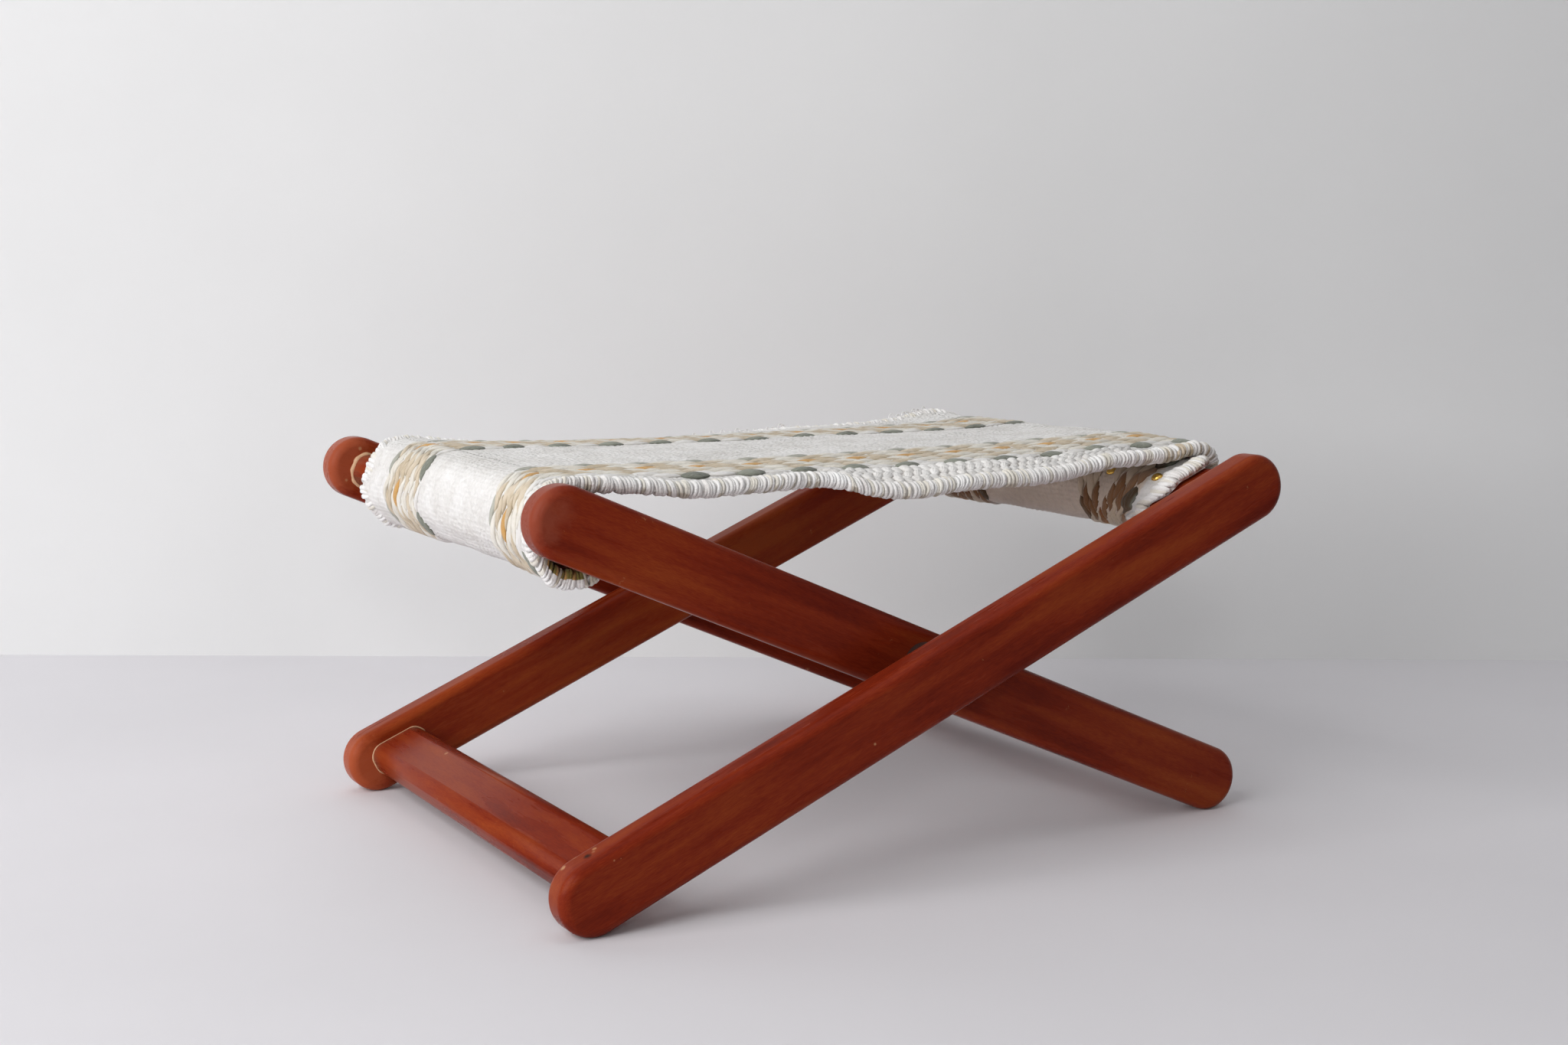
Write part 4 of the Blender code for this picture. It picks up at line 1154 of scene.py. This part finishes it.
def tack_spots():
    """Where the tacks' heads are, read off the CAD, so that no stitch runs through them."""
    spots = []
    for name in frame["nodes"]:
        if name.startswith("tack"):
            low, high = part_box(name)
            spots.append((np.array(low) + np.array(high)) / 2)
    return np.array(spots)


TACK_SPOTS = tack_spots()


def free_of_tacks(part, g, v, length):
    """True for a stitch that leaves every tack's head free."""
    ends = np.linspace(-length / 2, length / 2, 5)
    points = PARTS[part][0](g + ends, v / CLOTH_WIDTH, CLOTH)
    return np.linalg.norm(points[:, None] - TACK_SPOTS[None], axis=2).min() > TACK_FREE


def stripe_stitches(part):
    _, start, stop = PARTS[part]
    draw = np.random.default_rng(7 + len(part))
    stitches = []
    for row, (v, dyed, between, shift, share) in enumerate(STRIPE_ROWS):
        near = v > 200
        lean = STITCH_LEAN if row % 2 == 0 else -STITCH_LEAN
        if dyed in ("grey_green", "pale_grey"):
            lean = 0
        first = math.ceil((start / MM - shift) / (PITCH / 2))
        last = math.floor((stop / MM - shift) / (PITCH / 2))
        for k in range(first - 1, last + 2):
            yarn = dyed if k % 2 == 0 else between
            dark = yarn == "grey_green"
            g = (shift + k * PITCH / 2 + draw.uniform(-1.2, 1.2)) * MM
            if not near:
                g += FAR_DRIFT * smoothstep((-170 - g / MM) / 60)
            across = (v + draw.uniform(-0.8, 0.8)) * MM
            if near and part == "wrap_left":
                across += LEFT_DRIFT * min((296 - v) / 20, 1) * smoothstep((-g - SEAT_HALF) / (15 * MM))
            length = (DARK_LENGTH if dark else STITCH_LENGTH) * draw.uniform(0.92, 1.08) * MM
            wide = share if dark or dyed != "grey_green" else 1.0
            width = STITCH_WIDTH * wide * draw.uniform(0.88, 1.1) * MM
            height = (DARK_HEIGHT if dark else STITCH_HEIGHT) * draw.uniform(0.85, 1.15) * MM
            if near and part == "wrap_right":
                width *= RIGHT_SPREAD
            turn = math.radians(lean + draw.uniform(-2.5, 2.5))
            bare = dark and near and BARE_STRETCH[0] < g < BARE_STRETCH[1]
            if bare or not start + MM < g < stop - MM:
                continue
            if part != "seat" and not free_of_tacks(part, g, across, length):
                continue
            stitches.append((g, across, length, width, height, turn, YARN_ORDER.index(yarn)))
    return stitches


print("tacks to keep free:", len(TACK_SPOTS), "stitches on the seat:", len(stripe_stitches("seat")))

# %% [markdown]
# ## The knitted strip
# Between the last stripe and the near selvedge the cloth changes to plump white knit. Its stitches are
# shorter, lean to one side and the other row by row, and lie close, as the legs of knitted stitches do.
# At this size a knitted loop's two legs are all that shows of it, so the stripes' almond serves here too.

# %% Knit between the last stripe and the near selvedge
KNIT_ROWS = (303, 307.5, 312)                 # mm from the far selvedge; the sizes below are in mm too
KNIT_PITCH = 7.0
KNIT_SPAN = (-70, 222)
KNIT_SIZE = (9.4, 6.2, 3.0)                   # length, width and height of a stitch
KNIT_SHOWN = 6.5                              # it shows where the strip is at least this wide
KNIT_LEAN = 32                                # degrees


def knit_stitches():
    draw = np.random.default_rng(5)
    stitches = []
    for row, v in enumerate(KNIT_ROWS):
        lean = KNIT_LEAN if row % 2 == 0 else -KNIT_LEAN
        for g in np.arange(*KNIT_SPAN, KNIT_PITCH):
            place = (g + KNIT_PITCH / 2 * (row % 2) + draw.uniform(-0.8, 0.8)) * MM
            length = KNIT_SIZE[0] * draw.uniform(0.85, 1.15) * MM
            width = KNIT_SIZE[1] * draw.uniform(0.85, 1.15) * MM
            height = KNIT_SIZE[2] * draw.uniform(0.6, 1.2) * MM
            if near_knit_at(place) > KNIT_SHOWN:
                turn = math.radians(lean + draw.uniform(-8, 8))
                stitches.append((place, v * MM, length, width, height, turn, YARN_ORDER.index("knit")))
    return stitches


print("knit stitches:", len(knit_stitches()))

# %% [markdown]
# ## Whipped selvedges
# Both long edges are bound with white thread, wound round and round the edge. One long spiral could be
# swept along it, but rings of thread, one for each turn, can differ in size, lean and colour without a
# kink, and that gives the edge its scalloped outline. Along the far one a few loose loops stand up.

# %% Loose loops
LOOP_STRETCHES = [(-9, 105), (190, 224)]      # mm along the seat
LOOP_PITCH = 5.5
LOOP_THREAD = 0.45 * MM


def standing_loops():
    """Loose little loops of thread along the far selvedge, each an arch of its own."""
    draw = np.random.default_rng(3)
    theta = np.linspace(0, math.pi, 11)[:, None]
    phi = np.linspace(0, 2 * math.pi, 6, endpoint=False)[None, :]
    points, quads, places = [], [], []
    for first, last in LOOP_STRETCHES:
        for g0 in np.arange(first, last, LOOP_PITCH):
            wide = draw.uniform(1.4, 2.6) * MM
            high = wide * draw.uniform(1.2, 2.0)
            g = (g0 + draw.uniform(-1.5, 1.5)) * MM + (wide + LOOP_THREAD * np.cos(phi)) * np.cos(theta)
            h = CLOTH + 1.5 * MM + (high + LOOP_THREAD * np.cos(phi)) * np.sin(theta)
            v = draw.uniform(1.0, 5.0) * MM + LOOP_THREAD * np.sin(phi) + 0 * theta
            flat, faces = tube_faces(PARTS["seat"][0](g, v / CLOTH_WIDTH, h), closed_ends=True)
            quads.append(faces + len(points) * len(flat))
            points.append(flat)
            places.append(np.stack([g, v, h], axis=-1).reshape(-1, 3))
    return np.concatenate(points), np.concatenate(quads), np.concatenate(places)


print("points in the standing loops:", len(standing_loops()[0]))

# %% Whipped edges
WHIP_PITCH = 2.15 * MM
WHIP_THREAD = 1.2 * MM
WHIP_REACH = 5.2 * MM                         # half of what a turn takes in of the cloth's edge
LOOP_REACH = 1.7                              # how much deeper it goes inside the left wrap's loop
TURN_POINTS = 16
THREAD_SIDES = 8
CREAM_SHARE = 0.3                             # of the turns, and beige, as painted shade between threads, near the right end
BEIGE_SHADE_SHARE = 0.35
BEIGE_SHADE_STRETCH = (SEAT_HALF - 14 * MM, SEAT_HALF + 24 * MM)


def make_whip(part):
    place, start, stop = PARTS[part]
    draw = np.random.default_rng(31 + len(part))
    count = int((stop - start) / WHIP_PITCH)
    round_edge = np.linspace(0, 2 * math.pi, TURN_POINTS, endpoint=False)
    round_thread = np.linspace(0, 2 * math.pi, THREAD_SIDES, endpoint=False)
    c, s = np.cos(round_edge)[None, :, None], np.sin(round_edge)[None, :, None]
    ct, st = np.cos(round_thread)[None, None, :], np.sin(round_thread)[None, None, :]
    inner_side = (round_edge > 1.05 * math.pi) & (round_edge < 1.8 * math.pi)
    points, places, numbers, rail_shades = [], [], [], []
    for near in (False, True):
        at = start + (np.arange(count) + 0.5) * (stop - start) / count + draw.uniform(-0.6, 0.6, count) * MM
        at = at + 0.5 * MM * np.sin(2 * math.pi * at / MM / 7.7 + 2 * np.sin(at / MM / 19))
        lean = 0.6 + 1.2 * np.sin(at / MM / 23) + 0.8 * np.sin(at / MM / 5) + draw.uniform(-1.0, 1.0, count)
        reach = WHIP_REACH * (1 + 0.1 * np.sin(at / MM / 11)) * draw.uniform(0.86, 1.12, count)
        thread = WHIP_THREAD * draw.uniform(0.85, 1.2, count)
        over = near_seat(at)
        half = (3.2 + 1.4 * over) * MM * draw.uniform(0.88, 1.12, count)
        tone = draw.uniform(0, 1, count)
        in_loop = np.zeros(count)
        if near and part == "wrap_left":
            close = close_way(-1, at)
            in_loop = smoothstep((close - LOOP_START - 2) / 8) * smoothstep((LOOP_END - close) / 8)
        yarns = np.full((count, TURN_POINTS), YARN_ORDER.index("whip"))
        for i in np.flatnonzero(in_loop > 0.3):
            yarns[i, inner_side] = YARN_ORDER.index("ochre" if i % 3 == 0 else "olive")
        yarns[tone < CREAM_SHARE] = YARN_ORDER.index("cream")
        # Painted shade: near the right end some turns are beige, standing in for the shade between the
        # threads.
        beige_shade_turns = near & (at > BEIGE_SHADE_STRETCH[0]) & (at < BEIGE_SHADE_STRETCH[1])
        yarns[beige_shade_turns & (tone > 1 - BEIGE_SHADE_SHARE)] = YARN_ORDER.index("beige")

        at, lean, reach, thread, over, half, in_loop = (
            values[:, None, None] for values in (at, lean, reach, thread, over, half, in_loop))
        taper = (1 - 0.28 * (1 - c) / 2) * (1 + LOOP_REACH * in_loop * (s < 0))
        inward = reach * (1 - c) - thread * ct * c
        up = half * s * taper + thread * ct * s
        g = at + lean * MM * s + 1.05 * thread * st
        inward, up, g = np.broadcast_arrays(inward, up, g)
        f = 1 - inward / CLOTH_WIDTH if near else inward / CLOTH_WIDTH
        points.append(place(g, f, (4.6 - 2.2 * over) * MM + up).reshape(-1, 3))
        places.append(np.stack([g * 3, f * CLOTH_WIDTH, up], axis=-1).reshape(-1, 3))
        numbers.append(np.repeat(yarns.ravel(), THREAD_SIDES))
        rail_shades.append(rail_stain(part, g, f * CLOTH_WIDTH))
    _, quads = tube_faces(np.zeros((TURN_POINTS, THREAD_SIDES, 3)), closed_ends=False)
    size = TURN_POINTS * THREAD_SIDES
    faces = (quads[None] + (np.arange(2 * count) * size)[:, None, None]).reshape(-1, 4)
    if part == "seat":
        loops, loop_faces, loop_places = standing_loops()
        faces = np.concatenate([faces, loop_faces + 2 * count * size])
        points.append(loops)
        places.append(loop_places)
        numbers.append(np.full(len(loop_faces), YARN_ORDER.index("whip")))
        rail_shades.append(np.zeros(len(loops)))
    return cloth_mesh("whipping_" + part, np.concatenate(points), faces, np.concatenate(places),
                      np.concatenate(rail_shades), np.concatenate(numbers))


print("turns of whipping on the seat:", 2 * int(2 * SEAT_HALF / WHIP_PITCH))

# %% [markdown]
# ## The three parts of the sling
# Each wrap, with its stitches and whipping, rides on the frame of its own rail. The seat between them,
# with its stitches and whipping, keeps its place.

# %% The three parts of the sling
sling = {}
for part in PARTS:
    stitches = stripe_stitches(part) + (knit_stitches() if part == "seat" else [])
    sling[part] = [make_ground(part), make_stitches(part, stitches), make_whip(part)]
for part, (_, start, stop) in PARTS.items():
    for piece in sling[part]:
        if part == "seat":
            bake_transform(piece)
        else:
            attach(piece, "frame_a" if part == "wrap_right" else "frame_b")
    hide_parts("sling_" + part)
    print(part, [len(piece.data.vertices) for piece in sling[part]])

# %% [markdown]
# ## Bolts, collars and dowels
# The pivot bolts and washers are zinc plated steel, the spacer collars dark nylon, and the inserts and
# dowels are hidden in the wood. These keep the CAD's own shapes and get a finish: plating with fine
# streaks, or a plain colour with grain.

# %% Metal, nylon and bare wood


def plated(name, code, rough, streak_size):
    """A metal surface: its colour, and brushed or rubbed roughness from stretched noise."""
    material, tree, shader = new_material(name, rough, 1.0)
    coords = add_node(tree, "TexCoord")
    streaks = add_node(tree, "Mapping", {"Scale": per_metre(*streak_size)},
                       {"Vector": coords.outputs["Object"]})
    noise = add_node(tree, "TexNoise", {"Scale": 1.0, "Detail": 3.0}, {"Vector": streaks.outputs[0]})
    base = srgb(code)
    dull = (base[0] * 0.7, base[1] * 0.68, base[2] * 0.62, 1.0)
    color = add_node(tree, "Mix", {"data_type": "RGBA", 6: dull, 7: base}, {0: noise.outputs["Fac"]})
    gloss = add_node(tree, "MapRange", {"To Min": rough + 0.12, "To Max": rough - 0.08},
                     {"Value": noise.outputs["Fac"]})
    bump = add_node(tree, "Bump", {"Strength": 0.1, "Distance": 0.0001}, {"Height": noise.outputs["Fac"]})
    plug(tree, shader, {"Base Color": color.outputs[2], "Roughness": gloss.outputs[0],
                        "Normal": bump.outputs[0]})
    return material


def grained(name, light_code, dark_code, rough, grain_size):
    """A plain solid with grain: bare dowel wood, or the fine moulded grain of nylon."""
    material, tree, shader = new_material(name, rough)
    coords = add_node(tree, "TexCoord")
    stretch = add_node(tree, "Mapping", {"Scale": per_metre(*grain_size)},
                       {"Vector": coords.outputs["Object"]})
    noise = add_node(tree, "TexNoise", {"Scale": 1.0, "Detail": 3.0}, {"Vector": stretch.outputs[0]})
    color = add_node(tree, "ValToRGB", {"stops": [(0.3, srgb(dark_code)), (0.7, srgb(light_code))]},
                     {"Fac": noise.outputs["Fac"]})
    bump = add_node(tree, "Bump", {"Strength": 0.2, "Distance": 0.0002}, {"Height": noise.outputs["Fac"]})
    plug(tree, shader, {"Base Color": color.outputs[0], "Normal": bump.outputs[0]})
    return material


# The sizes of streaks and grain are in mm, along the three axes
CAD_FINISHES = {
    "pivot_bolt": plated("zinc_plated_steel_bolt", "B9BABC", 0.32, (1.4286, 1.4286, 1.4286)),
    "pivot_washer": plated("zinc_plated_steel_washer", "C4C5C6", 0.36, (2.5, 2.5, 0.8333)),
    "threaded_insert": plated("turned_brass_insert", "C9A45C", 0.38, (3.333, 0.6667, 3.333)),
    "pivot_spacer": grained("moulded_nylon_spacer", "2A1813", "1E110E", 0.5, (1.111, 1.111, 1.111)),
    "dowel": grained("bare_beech_dowel", "D0AE84", "B8905F", 0.7, (0.6667, 12.5, 0.6667)),
}
for name, node in frame["nodes"].items():
    for start, finish in CAD_FINISHES.items():
        if name.startswith(start):
            for slot in node.material_slots:
                slot.material = finish
print("finishes on CAD nodes:", len(CAD_FINISHES))

# %% [markdown]
# ## Domed tacks
# A tack's head is stamped from brass sheet, domed, with a turned-in rim, and polished. Seven on each
# rail hold the sling's flap. A head is a profile spun round its axis. A screw modifier could spin it
# too; doing it here closes both ends at once.

# %% Domed tacks
brass = plated("polished_brass_tack", "E9BE62", 0.2, (1.111, 1.111, 1.111))
TACK_X = TOP_RAIL_X - RAIL_WIDTH / 2 + 6 * MM
TACK_SEAT = RAIL_THICKNESS / 2 + CLOTH
TACK_SIDES = 32
DOME_RADIUS = 4.2
DOME_HEIGHT = 2.9
DOME_BASE = 0.5
# From the rim to the point of the nail: radius and height in mm
TACK_RIM_AND_NAIL = [(4.25, 0.2), (3.9, 0), (3.0, 0.1), (0.8, 0.2), (0.8, -13), (0, -16)]


def spin(name, profile_points, sides, material):
    """A turned piece: (radius, height) pairs spun round z; the first and last radius are 0."""
    around = np.linspace(0, 2 * math.pi, sides, endpoint=False)
    points = [(0, 0, profile_points[0][1])]
    for radius, height in profile_points[1:-1]:
        points += [(radius * math.cos(a), radius * math.sin(a), height) for a in around]
    points.append((0, 0, profile_points[-1][1]))
    last = len(points) - 1
    faces = [(0, 1 + i, 1 + (i + 1) % sides) for i in range(sides)]
    for row in range(len(profile_points) - 3):
        low = 1 + row * sides
        for i in range(sides):
            j = (i + 1) % sides
            faces.append((low + i, low + sides + i, low + sides + j, low + j))
    low = 1 + (len(profile_points) - 3) * sides
    faces += [(last, low + (i + 1) % sides, low + i) for i in range(sides)]
    return mesh_object(name, points, faces, material)


dome = [(DOME_RADIUS * math.cos(a), DOME_BASE + DOME_HEIGHT * math.sin(a))
        for a in np.linspace(math.pi / 2, 0, 9)]
tack_profile = [(radius * MM, height * MM) for radius, height in dome + TACK_RIM_AND_NAIL]
tacks = sorted(name for name in frame["nodes"] if name.startswith("tack"))
for name in tacks:
    side = 1 if "right" in name else -1
    low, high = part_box(name)
    y = (low[1] + high[1]) / 2 * side
    head = spin("domed_" + name, tack_profile, TACK_SIDES, brass)
    head.data.transform(frame_matrix(side) @ Matrix.Translation((TACK_X, y, TACK_SEAT)))
    stand_in(head, name, "frame_a" if side > 0 else "frame_b")
print("tacks with full domes:", len(tacks))
